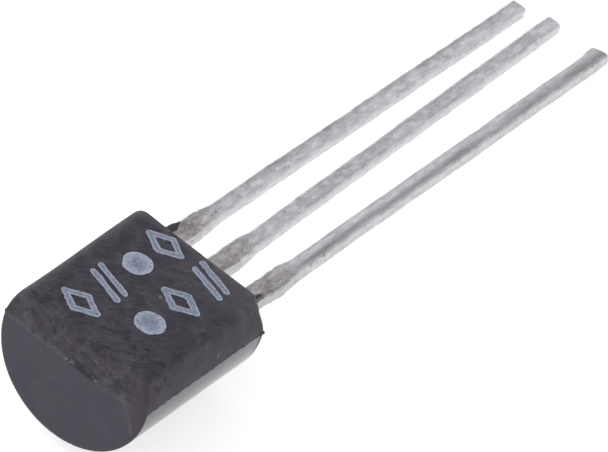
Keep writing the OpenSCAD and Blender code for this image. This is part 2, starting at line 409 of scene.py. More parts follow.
class Graph:
    """The node tree of one material or of the world."""

    def __init__(self, tree: bpy.types.NodeTree) -> None:
        """Empties a node tree and takes it over."""
        self.tree = tree
        self.tree.nodes.clear()

    def node(
        self,
        kind: str,
        settings: Optional[Mapping[str, object]] = None,
        values: Optional[Mapping[Union[str, int], Value]] = None,
        output: Union[str, int] = 0,
    ) -> Signal:
        """Makes a node.

        Args:
            kind: The node's type.
            settings: Its own settings, set first.
            values: Numbers, colours or links for its input sockets, by name or number.
            output: The output that is returned.

        Returns:
            That output.
        """
        made = self.tree.nodes.new(kind)
        for key, setting in (settings or {}).items():
            setattr(made, key, setting)
        for key, value in (values or {}).items():
            if isinstance(value, Signal):
                self.tree.links.new(value.socket, made.inputs[key])
            else:
                made.inputs[key].default_value = self._fitted(made.inputs[key], value)
        return Signal(self, made.outputs[output])

    @staticmethod
    def _fitted(socket: bpy.types.NodeSocket, value: Union[float, Sequence[float]]) -> object:
        """A value in the form that a socket takes: a colour of three numbers gets its fourth."""
        needs_fourth = socket.type == "RGBA" and len(value) == 3
        return (*value, 1.0) if needs_fourth else value

    def math(self, operation: str, *values: Value) -> Signal:
        """A Math node on one or two numbers."""
        return self.node("ShaderNodeMath", {"operation": operation}, dict(enumerate(values)))

    def vector(self, operation: str, *values: Value) -> Signal:
        """A Vector Math node."""
        return self.node("ShaderNodeVectorMath", {"operation": operation}, dict(enumerate(values)))

    def carried(self, name: str) -> Signal:
        """A value that the points of the mesh carry."""
        return self.node("ShaderNodeAttribute", {"attribute_name": name}, output="Fac")

    def mix(self, factor: Value, first: Value, second: Value, blend: str = "MIX") -> Signal:
        """A colour between two colours.

        Args:
            factor: 0 for the first, 1 for the second.
            first: The first colour.
            second: The second colour.
            blend: How the second goes over the first.

        Returns:
            The mixed colour.
        """
        settings = {"data_type": "RGBA", "blend_type": blend, "clamp_factor": True}
        return self.node("ShaderNodeMix", settings, {0: factor, 6: first, 7: second}, output=2)

    def coats(self, colour: Value, *coats: tuple[Value, Value]) -> Value:
        """Lays coats of other colours over a colour.

        Args:
            colour: The lowest colour.
            coats: Each coat's strength and colour, from the lowest up.

        Returns:
            The colour that shows.
        """
        for strength, over in coats:
            colour = self.mix(strength, colour, over)
        return colour

    def shade(self, colour: Value, level: Signal) -> Signal:
        """A colour made lighter or darker: times a level that is 1 where it stays as it is."""
        grey = self.vector("MULTIPLY", level, (1.0, 1.0, 1.0))
        return self.mix(1.0, colour, grey, blend="MULTIPLY")

    def speckle(
        self,
        place: Signal,
        scale: float,
        detail: float = 3.0,
        roughness: float = 0.5,
        stretch: Sequence[float] = (1.0, 1.0, 1.0),
        distortion: float = 0.0,
    ) -> Signal:
        """Cloudy noise from 0 to 1.

        Args:
            place: Where it is looked up, in millimetres.
            scale: Clouds a millimetre.
            detail: Octaves.
            roughness: How strong the finer octaves are.
            stretch: Factors on the scale along X, Y and Z.
            distortion: How far the clouds are pulled about.

        Returns:
            The noise.
        """
        values = {
            "Vector": self.vector("MULTIPLY", place, tuple(stretch)),
            "Scale": scale,
            "Detail": detail,
            "Roughness": roughness,
            "Distortion": distortion,
        }
        return self.node("ShaderNodeTexNoise", {"noise_dimensions": "3D"}, values)

    def cells(self, place: Signal, scale: float) -> Signal:
        """Distance from the middles of a pattern of cells, with scale cells a millimetre."""
        settings = {"feature": "F1", "voronoi_dimensions": "3D"}
        return self.node("ShaderNodeTexVoronoi", settings, {"Vector": place, "Scale": scale}, "Distance")

    def bump(
        self, height: Signal, strength: float, distance: float, normal: Optional[Signal] = None
    ) -> Signal:
        """A normal raised by a height.

        Args:
            height: The height, from 0 to 1.
            strength: Share of the bump that shows.
            distance: Height in millimetres at 1.
            normal: A normal that this one adds to.

        Returns:
            The new normal.
        """
        values = {"Strength": strength, "Distance": distance / MM_PER_M, "Height": height}
        if normal is not None:
            values["Normal"] = normal
        return self.node("ShaderNodeBump", values=values)

    def principled(self, values: Mapping[str, Value]) -> Signal:
        """The main shader, with values or links for its sockets."""
        return self.node("ShaderNodeBsdfPrincipled", values=values)

    def surface(self, shader: Signal, kind: str = "ShaderNodeOutputMaterial") -> None:
        """Makes a shader the tree's surface."""
        made = self.tree.nodes.new(kind)
        self.tree.links.new(shader.socket, made.inputs["Surface"])


def new_material(name: str) -> tuple[bpy.types.Material, Graph]:
    """Makes an empty node material.

    Args:
        name: Its name.

    Returns:
        The material and its graph.
    """
    material = bpy.data.materials.new(name)
    material.use_nodes = True
    return material, Graph(material.node_tree)


@dataclass(frozen=True)
class Finish:
    """What every finish has: where its surface is looked up, in package millimetres."""

    placement: Placement

    def place(self, graph: Graph) -> Signal:
        """The point of the surface in package millimetres.

        Args:
            graph: The finish's graph.

        Returns:
            The point, for the noises of the finish.
        """
        metres = graph.node("ShaderNodeTexCoord", output="Object")
        values = {"Vector": metres, **self.placement.to_package()}
        return graph.node("ShaderNodeMapping", {"vector_type": "POINT"}, values)

    @staticmethod
    def split(graph: Graph, place: Signal) -> tuple[Signal, Signal, Signal]:
        """The three numbers of a point."""
        made = graph.node("ShaderNodeSeparateXYZ", values={"Vector": place}).socket.node
        return tuple(Signal(graph, made.outputs[k]) for k in range(3))


# --- Finishes --------------------------------------------------------------------------------------
# Places across the top end of the painted shade in the gate's torn recess and of the pale crumb beside it.
GATE_SHADE_Y = -0.34
GATE_CRUMB_Y = 0.16


@dataclass(frozen=True)
class DullMoulding(Finish):
    """Black epoxy of the mould's flat half: spark-eroded, dull, with grime on the flat and worn edges."""

    sizes: PackageSizes
    resin: Colour = (0.065, 0.060, 0.076)
    clouded: float = 0.84
    grime: Colour = (0.036, 0.033, 0.045)
    brown: Colour = (0.046, 0.040, 0.046)
    ruddy: Colour = (0.060, 0.050, 0.060)
    rust: Colour = (0.068, 0.055, 0.058)
    haze: Colour = (0.069, 0.065, 0.083)
    worn: Colour = (0.106, 0.099, 0.112)
    soot_and_shade: Colour = (0.016, 0.015, 0.018)
    scorched: Colour = (0.042, 0.035, 0.035)
    dust: Colour = (0.19, 0.185, 0.20)
    wipe_turn: float = 33.0
    foot: float = 1.03
    spill: float = 0.17
    roughness: float = 0.55
    specular: float = 0.28

    def build(self) -> bpy.types.Material:
        """Makes the material.

        Returns:
            The finish of the flat half.
        """
        s = self.sizes
        material, g = new_material("dull_moulding")
        place = self.place(g)
        x, y, z = self.split(g, place)
        cloud = g.speckle(place, 1.4, 4.0, 0.6)
        ragged = g.speckle(place, 3.6, 4.0, 0.6)

        # Noises drawn out along the strokes that wiped the flat.
        turned = {"Vector": place, "Angle": -math.radians(self.wipe_turn)}
        wiped = g.node("ShaderNodeVectorRotate", {"rotation_type": "Z_AXIS"}, turned)
        blotch = g.speckle(wiped, 1.8, 6.0, 0.7, stretch=(1.2, 0.95, 1.0), distortion=0.25)
        dash = g.speckle(wiped, 4.4, 4.0, 0.65, stretch=(1.4, 0.75, 1.0), distortion=0.1)
        smeared = g.speckle(wiped, 5.0, 4.0, 0.65, stretch=(1.5, 0.7, 1.0), distortion=0.1)
        scratch = g.speckle(wiped, 4.0, 2.0, 0.5, stretch=(4.0, 0.3, 1.0), distortion=0.2)

        # Clean resin on the edges and ends, and the grime that covers the flat above a ragged foot.
        level = z + ragged.swing(0.55) + cloud.swing(0.3)
        level = level + x.fall(s.top_x + 0.08, s.top_x + 0.3) * self.spill
        grimy = level.rise(self.foot - 0.09, self.foot + 0.08)
        banded = x.fall(s.top_x + 0.1, s.top_x + 0.5)
        clean = g.coats(
            self.resin,
            (cloud.rise(0.38, 0.62), tuple(self.clouded * c for c in self.resin)),
            ((blotch * 0.6 + dash * 0.4).rise(0.45, 0.56) * (0.45 + banded * 0.4), self.brown),
            ((ragged * 0.5 + cloud * 0.5).rise(0.50, 0.60) * (0.35 + banded * 0.2), self.worn),
        )
        clean = g.shade(clean, 1.0 - banded * (0.04 - ragged.swing(0.9)))
        depth = blotch.swing(3.4) + dash.swing(2.6) + 0.6 - cloud.swing(1.6)
        dirt = g.coats(
            self.haze,
            (depth.rise(-0.25, 1.15), self.grime),
            (ragged.rise(0.5, 0.66) * 0.55, self.brown),
        )

        # Stains near the top end, rubbed edges and corners, and what was wiped over the flat.
        near_end = x.fall(-4.1, -2.9) * level.rise(0.5, 0.8)
        back_edge = y.rise(1.55, 2.0) * z.rise(0.7, 1.0) * ragged.rise(0.3, 0.6)
        lead_edge = x.rise(-0.34, -0.14) * z.rise(0.95, 1.1) * ragged.rise(0.34, 0.5)
        corner = y.fall(-1.95, -1.45) * x.fall(s.top_x + 0.05, s.top_x + 0.45)
        scratched = scratch.rise(0.64, 0.72) * blotch.fall(0.46, 0.6) * grimy
        veil = x.rise(-1.7, -0.5) * y.fall(-1.2, 0.9) * grimy * (0.35 + blotch.rise(0.4, 0.6) * 0.65)
        scuff = x.near(-0.62, 0.15, 0.50) * y.near(-1.92, 0.06, 0.26) * dash.rise(0.46, 0.58)

        # The parting line's ridge on the top end, tinted light as a painted highlight of its lit top, with
        # painted shade in the gate's torn recess and the crumb beside it.
        at_top = x.fall(s.top_x + 0.03, s.top_x + 0.1)
        ridge = z.near(s.parting_h + 0.015, 0.0, 0.08) * at_top
        ridge = ridge * y.rise(-2.0, -1.7) * ragged.rise(0.38, 0.52)
        gate_shade = z.near(s.parting_h + 0.05, 0.03, 0.15) * y.near(GATE_SHADE_Y, 0.28, 0.62)
        gate_shade = gate_shade * ragged.rise(0.40, 0.54) * at_top
        crumb = z.near(s.parting_h + 0.01, 0.02, 0.05) * y.near(GATE_CRUMB_Y, 0.10, 0.16)
        crumb = crumb * at_top * g.speckle(place, 15.0, 3.0).rise(0.5, 0.58)

        fleck = g.cells(place, 1.1).fall(0.045, 0.07)
        grit = g.cells(place, 4.6).fall(0.09, 0.16) * g.speckle(place, 2.0).rise(0.55, 0.62)
        colour = g.coats(
            g.mix(grimy, clean, dirt),
            (smeared.rise(0.50, 0.62) * near_end * 0.6, self.rust),
            (smeared.fall(0.38, 0.49) * near_end * 0.7, self.soot_and_shade),
            (back_edge * 0.55 + lead_edge * 0.6, self.worn),
            (corner * 0.7, self.ruddy),
            (scratched * 0.55, self.worn),
            (veil * 0.5, self.worn),
            # painted highlight along the parting ridge's lit top, in the worn colour
            (ridge * 0.6, self.worn),
            # painted shade in the gate's torn recess
            (gate_shade * 0.95, self.soot_and_shade),
            (crumb * 0.8, self.dust),
            (x.rise(0.02, 0.12) * 0.85, self.scorched),
            (scuff * z.rise(0.3, 0.6) * 0.8, self.worn),
            (fleck * 0.8 + grit * 0.3, self.dust),
        )
        erosion = g.bump(g.speckle(place, 24.0, 3.0, 0.7), 0.5, 0.010)
        g.surface(g.principled({
            "Base Color": colour,
            "Roughness": self.roughness + blotch.swing(0.4) + grimy * 0.04,
            "Specular IOR Level": self.specular,
            "Normal": g.bump((dash + blotch) * (grimy * 0.9 + 0.1), 0.28, 0.03, erosion),
        }))
        return material


class Gloss(Enum):
    """How the mould's round half left the epoxy: name, roughness, specular level and coat weight."""

    SMOOTH = ("smooth_moulding", 0.26, 0.5, 0.0)
    POLISHED = ("polished_moulding", 0.2, 1.0, 0.42)


@dataclass(frozen=True)
class SmoothMoulding(Finish):
    """Black epoxy of the mould's round half: smoother, so that it mirrors the table."""

    sizes: PackageSizes
    gloss: Gloss
    coat_roughness: float = 0.12
    resin: Colour = (0.0215, 0.0195, 0.0390)
    worn: Colour = (0.0300, 0.0270, 0.0470)
    dust: Colour = (0.17, 0.165, 0.18)
    soot_and_shade: Colour = (0.006, 0.005, 0.007)
    ruddy: Colour = (0.0335, 0.0245, 0.0350)
    dull: Colour = (0.059, 0.055, 0.068)
    brown: Colour = (0.063, 0.053, 0.062)
    chalk: Colour = (0.30, 0.30, 0.32)

    def build(self) -> bpy.types.Material:
        """Makes the material.

        Returns:
            The finish of one part of the round half.
        """
        s = self.sizes
        name, roughness, specular, coat = self.gloss.value
        material, g = new_material(name)
        place = self.place(g)
        x, y, z = self.split(g, place)
        cloud = g.speckle(place, 1.3, 4.0, 0.6)
        hue = g.speckle(place, 1.8, 2.0, 0.5)
        blotch = g.speckle(place, 3.0, 4.0, 0.65)
        ragged = g.speckle(place, 6.0, 4.0, 0.6)
        torn = g.speckle(place, 14.0, 3.0, 0.7)

        # On the top end: a painted highlight along the near corner and the parting line, painted shade in
        # the gate's torn recess, and the crumb.
        end = x.fall(s.top_x + 0.06, s.top_x + 0.16)
        corner = y + (0.25 - z) * 0.62 + 1.62 + ragged.swing(0.16)
        ridge = corner.near(0.04, 0.0, 0.13) * z.rise(-1.05, -0.6) * 0.6
        parting = z.near(s.parting_h - 0.03, 0.0, 0.1) * y.rise(-1.75, -1.55)
        parting = parting * abs(y + 0.15).rise(0.35, 0.55)
        light = (ridge + parting) * end * ragged.rise(0.36, 0.5)
        gate = y.near(GATE_SHADE_Y, 0.24, 0.56) * z.rise(s.parting_h - 0.20, s.parting_h - 0.06)
        crumb = z.near(s.parting_h - 0.06, 0.03, 0.07) * y.near(GATE_CRUMB_Y, 0.12, 0.18)
        fleck = g.cells(place, 1.3).fall(0.03, 0.06) * g.speckle(place, 1.7).rise(0.48, 0.6)
        colour = g.coats(
            self.resin,
            (cloud.rise(0.42, 0.6), self.worn),
            (hue.rise(0.46, 0.64) * 0.7, self.ruddy),
            # painted highlight along the near corner and the parting line, in the dust colour
            (light * 0.22, self.dust),
            # painted shade in the gate's torn recess
            (gate * end * ragged.rise(0.40, 0.52) * 0.95, self.soot_and_shade),
            (crumb * end * torn.rise(0.5, 0.57) * 0.9, self.chalk),
            (fleck * 0.5, self.dust),
        )
        normal = g.bump(g.speckle(place, 18.0, 3.0, 0.6) + ragged * 0.6, 0.22, 0.005)
        smooth = g.principled({
            "Base Color": colour,
            "Roughness": roughness + cloud.swing(0.12) + gate * end * 0.35,
            "Specular IOR Level": specular,
            "Coat Weight": coat,
            "Coat Roughness": self.coat_roughness,
            "Normal": normal,
        })

        # The dull look of the flat half reaches over the near corner, the rims and the seam.
        drawn_in = corner.fall(-0.03, 0.12) * z.rise(-0.95, -0.5)
        rim = ((y * y + z * z) ** 0.5 + ragged.swing(0.08)).rise(s.back_r - 0.19, s.back_r - 0.11)
        seam = (z + ragged.swing(0.16) + blotch.swing(0.1)).rise(s.parting_h - 0.07, s.parting_h - 0.02)
        top_end = x.fall(s.top_x + 0.09, s.top_x + 0.17)
        dulled = drawn_in * top_end + rim * (top_end + x.rise(-0.10, -0.05)) + seam * (1.0 - end)
        colour = g.coats(
            self.dull,
            ((cloud * 0.5 + blotch * 0.5).rise(0.45, 0.58), self.brown),
            # the same painted highlight over the dulled parts, in the dust colour
            (light * 0.3, self.dust),
        )
        rough = g.principled({
            "Base Color": colour,
            "Roughness": DullMoulding.roughness,
            "Specular IOR Level": DullMoulding.specular,
            "Normal": normal,
        })
        g.surface(g.node("ShaderNodeMixShader", values={0: dulled.rise(0.0, 1.0), 1: smooth, 2: rough}))
        return material


@dataclass(frozen=True)
class DippedTin(Finish):
    """Hot-dipped tin: frosted and mottled on top, stained at the roots, with painted reflection on the cut
    sides.

    The last three fields name the values that a lead's mesh carries for this finish.
    """

    tin: Colour = (0.67, 0.647, 0.688)
    dark: Colour = (0.54, 0.518, 0.552)
    bright: Colour = (0.80, 0.78, 0.82)
    pale: Colour = (0.745, 0.727, 0.745)
    stain: Colour = (0.27, 0.25, 0.24)
    groove: Colour = (0.36, 0.345, 0.355)
    smear: Colour = (0.15, 0.14, 0.14)
    pit: Colour = (0.10, 0.095, 0.10)
    stain_l: float = 3.1
    roughness: float = 0.40
    flank: str = "flank"
    streak: str = "streak"
    across: str = "across"

    def build(self) -> bpy.types.Material:
        """Makes the material.

        Returns:
            The finish that all three leads share.
        """
        material, g = new_material("dipped_tin")
        place = self.place(g)
        x, y, _ = self.split(g, place)
        flank, streak, across = (g.carried(name) for name in (self.flank, self.streak, self.across))
        cloud = g.speckle(place, 2.4, 4.0, 0.6, stretch=(0.4, 1.0, 1.0))
        frost = g.speckle(place, 6.0, 5.0, 0.64, stretch=(0.45, 1.0, 1.0))
        grain = g.speckle(place, 20.0, 4.0, 0.7, stretch=(0.6, 1.0, 1.0))

        # The worn groove along the top, the flux stain at the root and the smear on the emitter lead.
        worn_in = (streak * (0.75 + frost.swing(2.4) + cloud.swing(2.0))).rise(0.0, 0.85)
        stained = cloud + frost.swing(0.8) + y.fall(-0.9, -0.6) * 0.07
        root = x.fall(self.stain_l * 0.45, self.stain_l) * stained.rise(0.32, 0.56)
        patchy = 0.78 - frost.swing(1.8) - grain.swing(0.9)
        ragged = frost.swing(0.5)
        smear = (abs(x - 0.78) + ragged).fall(0.20, 0.34) * (abs(y + 1.46) + ragged).fall(0.13, 0.22)
        border = flank + frost.swing(0.75) + grain.swing(0.3)
        side = border.rise(0.08, 0.28)
        colour = g.coats(
            self.dark,
            (cloud.rise(0.34, 0.62), self.tin),
            (frost.rise(0.44, 0.64) * 0.5, self.bright),
            (worn_in, self.groove),
            (root * patchy, self.stain),
            (smear * 0.85, self.smear),
            # painted reflection: the cut sides made pale where they mirror the white table
            (side, self.pale),
        )

        # Mottled, with painted light and shade across the leads' tops and painted shade on the emitter
        # lead's sides; dark along the cut edges and pitted near the root.
        darker = across * (y * 0.11 + 0.08) * (1.0 - side) + y.fall(-0.9, -0.4) * (side * 0.16 + 0.02)
        colour = g.shade(colour, 1.0 + frost.swing(0.8) + grain.swing(0.6) - darker)
        rim = border.rise(-0.2, -0.05) * border.fall(0.0, 0.2) * grain.rise(0.40, 0.56)
        near_root = 0.35 + x.fall(2.0, 5.5) * 0.65
        pits = g.cells(place, 6.0).fall(0.14, 0.26) * frost.fall(0.40, 0.5) * near_root
        colour = g.coats(colour, (rim * 0.3, self.groove), (pits * 0.7, self.pit))
        height = frost * 0.8 + grain * 0.25 + cloud * 0.4 - pits * 0.3
        g.surface(g.principled({
            "Base Color": colour,
            "Metallic": 1.0 - 0.35 * root,
            "Roughness": self.roughness + frost.swing(0.3),
            "Normal": g.bump(height, 0.55, 0.03),
        }))
        return material


@dataclass(frozen=True)
class WornInk(Finish):
    """Pale blue pad-printed ink: thick along the edges of its strokes, thin and worn in their middles.

    The last field names the value that the marks' mesh carries for this finish.
    """

    ink: Colour = (0.35, 0.40, 0.50)
    lilac: Colour = (0.38, 0.39, 0.50)
    thin: Colour = (0.20, 0.245, 0.34)
    teal: Colour = (0.185, 0.25, 0.30)
    chalk: Colour = (0.49, 0.52, 0.62)
    bare: Colour = (0.045, 0.05, 0.065)
    roughness: float = 0.6
    specular: float = 0.3
    depth: str = "stroke_depth"

    def build(self) -> bpy.types.Material:
        """Makes the material.

        Returns:
            The finish of all the marks.
        """
        material, g = new_material("worn_ink")
        place = self.place(g)
        depth = g.carried(self.depth)
        tint = g.speckle(place, 2.2, 3.0, 0.6)
        blotch = g.speckle(place, 5.0, 5.0, 0.7)
        grain = g.speckle(place, 11.0, 4.0, 0.7)
        crumb = g.speckle(place, 17.0, 2.0, 0.6)
        rough = blotch.swing(2.4) + grain.swing(1.8)
        hollow = (depth + rough).rise(0.16, 0.62)
        outer = g.mix(tint.rise(0.42, 0.58), self.ink, self.lilac)
        inner = g.mix(tint.rise(0.40, 0.56), self.teal, self.thin)
        fringe = (depth + rough * 0.5).fall(0.05, 0.34) * (grain * 0.5 + blotch * 0.5).rise(0.46, 0.54)
        gone = (grain * 0.6 + blotch * 0.4).fall(0.42, 0.47) + crumb.fall(0.34, 0.42) * 0.5
        colour = g.coats(
            outer,
            (hollow * 0.9, inner),
            (fringe * 0.6 + crumb.rise(0.58, 0.66) * 0.5, self.chalk),
            (gone * (hollow * 0.45 + 0.35), self.bare),
        )
        g.surface(g.principled({
            "Base Color": colour,
            "Roughness": self.roughness + blotch.swing(0.2),
            "Specular IOR Level": self.specular,
            "Normal": g.bump(grain + blotch, 0.5, 0.012),
        }))
        return material


class InnerMetal(Enum):
    """What is inside the moulding: name, colour, second colour, metallic, roughness and clouds a mm."""

    SOLDER = ("dull_solder", (0.40, 0.41, 0.43), (0.28, 0.29, 0.31), 1.0, 0.45, 9.0)
    GOLD = ("drawn_gold", (0.83, 0.62, 0.22), (0.70, 0.50, 0.16), 1.0, 0.22, 20.0)
    SILICON = ("polished_silicon", (0.12, 0.13, 0.17), (0.08, 0.09, 0.13), 0.6, 0.15, 6.0)


@dataclass(frozen=True)
class InnerFinish(Finish):
    """Finish of a piece inside the moulding: one colour clouded with another."""

    metal: InnerMetal

    def build(self) -> bpy.types.Material:
        """Makes the material.

        Returns:
            The finish of one of the inner pieces.
        """
        name, colour, second, metallic, roughness, scale = self.metal.value
        material, g = new_material(name)
        cloud = g.speckle(self.place(g), scale, 4.0, 0.6)
        g.surface(g.principled({
            "Base Color": g.mix(cloud.rise(0.4, 0.65), colour, second),
            "Metallic": metallic,
            "Roughness": roughness + cloud * 0.15,
            "Normal": g.bump(cloud, 0.3, 0.004),
        }))
        return material


# --- Moulded body ----------------------------------------------------------------------------------
@dataclass(frozen=True)
class RootScrap:
    """A thin scrap of resin that ran out of the mould along a lead's root.

    Args:
        length: How far it reaches from the lead end of the body.
        middle_y: Its middle line at the body.
        tip_y: Its middle line at the tip.
        width: Its width at the body.
        seed: Sets its ragged edge apart from the others'.
    """

    length: float
    middle_y: float
    tip_y: float
    width: float
    seed: float


class BodySkin(IntEnum):
    """Numbers of the body's finishes: its flat half, its round half's ends and its round back."""

    DULL = 0
    END = 1
    WALL = 2


class Zone(Enum):
    """Stretches of the body's skin between its two ends."""

    TOP_EDGE = "top edge"
    WALL = "wall"
    LEAD_EDGE = "lead edge"


@dataclass
class MouldedBody:
    """The one-piece moulding: round back, flat, drafted ends, parting flash, gate scar and root scraps.

    The depths and widths of its edges hold one value for each height in levels.
    """

    sizes: PackageSizes
    placement: Placement
    fine_step: float = 0.02
    coarse_step: float = 0.06
    turn_step: float = 1.5
    wall_rings: int = 75
    fillet_rings: int = 8
    edge_steps: int = 14
    flash_margin: float = 0.02
    flash_approach: Sequence[float] = (0.12, 0.06, 0.02)
    flash_profile: Sequence[float] = (0.0, 0.75, 1.0, 0.75, 0.0)
    gate_lines: int = 14
    seed: float = 3.0
    gate_y: float = -0.2
    levels: Sequence[float] = (-0.6, 0.05, 0.22, 0.85, 1.14, 1.18)
    top_depth: Sequence[float] = (0.12, 0.09, 0.08, 0.10, 0.10, 0.10)
    near_width: Sequence[float] = (0.14, 0.42, 0.46, 0.34, 0.10, 0.10)
    far_width: Sequence[float] = (0.14, 0.11, 0.08, 0.12, 0.10, 0.10)
    far_swell: Sequence[float] = (0.0, 0.06, 0.024)
    far_lead_edge: Sequence[float] = (0.12, 0.06, 0.025, 0.20, 0.08, 0.07)
    near_lead_edge: Sequence[float] = (0.05, 0.03, 0.020, 0.26, 0.30, 0.09)
    near_bulge: float = 0.04
    near_nib: float = 1.35
    far_nib: float = 0.85
    scrap_profile: Sequence[tuple[float, float]] = (
        (-1.0, 0.0), (-0.6, 1.0), (0.0, 1.1), (0.6, 1.0), (1.0, 0.0), (0.5, -1.0), (-0.5, -1.0)
    )
    scrap_t: float = 0.03
    scrap_rings: int = 22
    scrap_root: float = 0.05
    scraps: Sequence[RootScrap] = (
        RootScrap(1.36, 1.50, 1.54, 0.26, 51.0),
        RootScrap(1.04, -1.24, -1.35, 0.18, 57.0),
    )

    def flat_columns(self) -> np.ndarray:
        """Lays out the flat's lengthwise lines on one side, close together near the gate.

        Returns:
            Their distances from the middle line, the last one where the edge's rounding starts.
        """
        edge_h = self.sizes.flat_h - self.sizes.side_edge_r
        edge_y = math.sqrt((self.sizes.back_r - self.sizes.side_edge_r) ** 2 - edge_h**2)
        near = np.arange(0.0, 0.62 * self.sizes.gate_w, self.fine_step)
        far = np.arange(near[-1] + self.coarse_step, edge_y - self.coarse_step / 2, self.coarse_step)
        return np.concatenate([near, far, [edge_y]])

    def half_outline(self) -> tuple[np.ndarray, np.ndarray]:
        """The section's outline on the collector side, from the flat's middle to the back's bottom.

        Returns:
            The outline's points (Y, Z), and the flash's share at each, 1 on its ridge.
        """
        s = self.sizes
        columns = self.flat_columns()
        points = [(y, s.flat_h) for y in columns]
        blend = math.degrees(math.asin((s.flat_h - s.side_edge_r) / (s.back_r - s.side_edge_r)))
        for a in np.radians(np.linspace(90.0, blend, self.edge_steps + 1)[1:]):
            y = columns[-1] + s.side_edge_r * math.cos(a)
            points.append((y, s.flat_h - s.side_edge_r + s.side_edge_r * math.sin(a)))
        upper, lower = s.parting_h + self.flash_margin, s.parting_h - s.flash_t - self.flash_margin
        steps = [self.back_turn(upper + above) for above in self.flash_approach]
        turns = np.arange(blend - self.turn_step, steps[0] + self.turn_step / 2, -self.turn_step)
        points += [self.on_back(turn) for turn in (*turns, *steps)]
        ridge = np.linspace(upper, lower, len(self.flash_profile))
        flash = [0.0] * len(points) + [*self.flash_profile]
        points += [self.on_back(self.back_turn(h)) for h in ridge]
        gate_foot = lower - s.gate_h - self.flash_margin
        turns = [self.back_turn(h) for h in np.linspace(lower, gate_foot, self.gate_lines)[1:]]
        turns += list(np.linspace(turns[-1], -90.0, round((turns[-1] + 90.0) / self.turn_step) + 1)[1:])
        points += [self.on_back(turn) for turn in turns]
        flash += [0.0] * len(turns)
        return np.array(points), np.array(flash)

    def back_turn(self, height: float) -> float:
        """Angle, in degrees, of the round back's point at a height."""
        return math.degrees(math.asin(height / self.sizes.back_r))

    def on_back(self, turn: float) -> tuple[float, float]:
        """The round back's point (Y, Z) at an angle in degrees."""
        a = math.radians(turn)
        return self.sizes.back_r * math.cos(a), self.sizes.back_r * math.sin(a)

    def normals(self, outline: np.ndarray) -> np.ndarray:
        """Finds the outward directions of the outline's points.

        Args:
            outline: The half outline.

        Returns:
            The directions (Y, Z), one a row.
        """
        s = self.sizes
        centres = np.zeros_like(outline)
        flat_end = len(self.flat_columns()) - 1
        centres[: flat_end + 1] = outline[: flat_end + 1] - (0.0, 1.0)
        above = outline[:, 1] > outline[flat_end + self.edge_steps, 1]
        rounding = above & (np.arange(len(outline)) > flat_end)
        centres[rounding] = (outline[flat_end, 0], s.flat_h - s.side_edge_r)
        out = outline - centres
        return out / np.linalg.norm(out, axis=1)[:, None]

    def end_inset(self, heights: np.ndarray) -> np.ndarray:
        """How far the drafted ends stand back from the parting plane's ends, at each height."""
        slope = math.tan(math.radians(self.sizes.end_draft))
        return np.maximum(heights - self.sizes.parting_h, 0.0) * slope

    def rings(self, outline: np.ndarray, flash: np.ndarray, side: int) -> np.ndarray:
        """The skin of one side's walls and edges, from the top end to the lead end.

        Args:
            outline: The half outline.
            flash: The flash's share at each of its points.
            side: 1 for the collector side, -1 for the emitter side.

        Returns:
            Points (ring, place along the half outline, XYZ).
        """
        s = self.sizes
        out = self.normals(outline)
        heights = outline[:, 1]
        lead_r = np.interp(heights, self.levels, self.far_lead_edge if side > 0 else self.near_lead_edge)
        top_d = np.interp(heights, self.levels, self.top_depth)
        top_w = np.interp(heights, self.levels, self.far_width if side > 0 else self.near_width)
        made = []
        turns = np.radians(np.linspace(90.0, 0.0, self.fillet_rings + 1))
        stations = [(Zone.TOP_EDGE, a) for a in turns]
        stations += [(Zone.WALL, share) for share in np.linspace(0.0, 1.0, self.wall_rings)[1:-1]]
        stations += [(Zone.LEAD_EDGE, a) for a in turns[::-1]]
        for zone, value in stations:
            a = 0.0 if zone is Zone.WALL else value
            width = top_w if zone is Zone.TOP_EDGE else lead_r
            section = outline - out * (width * (1 - math.cos(a)))[:, None]
            inset = self.end_inset(section[:, 1])
            top_x = s.top_x + inset + top_d * (1 - math.sin(a) if zone is Zone.TOP_EDGE else 1)
            lead_x = -inset - lead_r * (1 - math.sin(a) if zone is Zone.LEAD_EDGE else 1)
            x = {Zone.TOP_EDGE: top_x, Zone.LEAD_EDGE: lead_x}.get(zone, top_x + (lead_x - top_x) * value)
            lift = {Zone.TOP_EDGE: -math.sin(a), Zone.LEAD_EDGE: math.sin(a)}.get(zone, 0.0)
            ring = np.column_stack([x, section[:, 0] * side, section[:, 1]])
            away = np.column_stack([
                np.full(len(x), lift),
                out[:, 0] * side * math.cos(a),
                out[:, 1] * math.cos(a),
            ])
            reach = [self.flash_reach(x, y) if share else 0.0 for (x, y, _), share in zip(ring, flash)]
            made.append(ring + (flash * np.array(reach))[:, None] * away)
        return np.array(made)

    def flash_reach(self, x: float, y: float) -> float:
        """How far the parting flash stands out: worn thin on the walls, broken off at the gate.

        Args:
            x: Place along the body.
            y: Place across it.

        Returns:
            The flash's reach in millimetres.
        """
        s = self.sizes
        ragged = 0.75 + 0.5 * ripple(self.seed + 5, 3.1 * x, 2.7 * y)
        far_nib = self.far_nib * (1 - smoothstep(0.0, 0.35, x - s.top_x)) * smoothstep(1.95, 2.12, y)
        if x < s.top_x + 0.15:
            kept = smoothstep(-1.75, -1.4, y) * smoothstep(0.38, 0.5, abs(y - self.gate_y) / s.gate_w)
            return s.flash_w * (0.10 * ragged * kept + far_nib)
        near_nib = self.near_nib * smoothstep(-0.3, -0.02, x) * smoothstep(1.9, 2.1, -y)
        return s.flash_w * (0.05 + 0.2 * ragged + near_nib + far_nib)

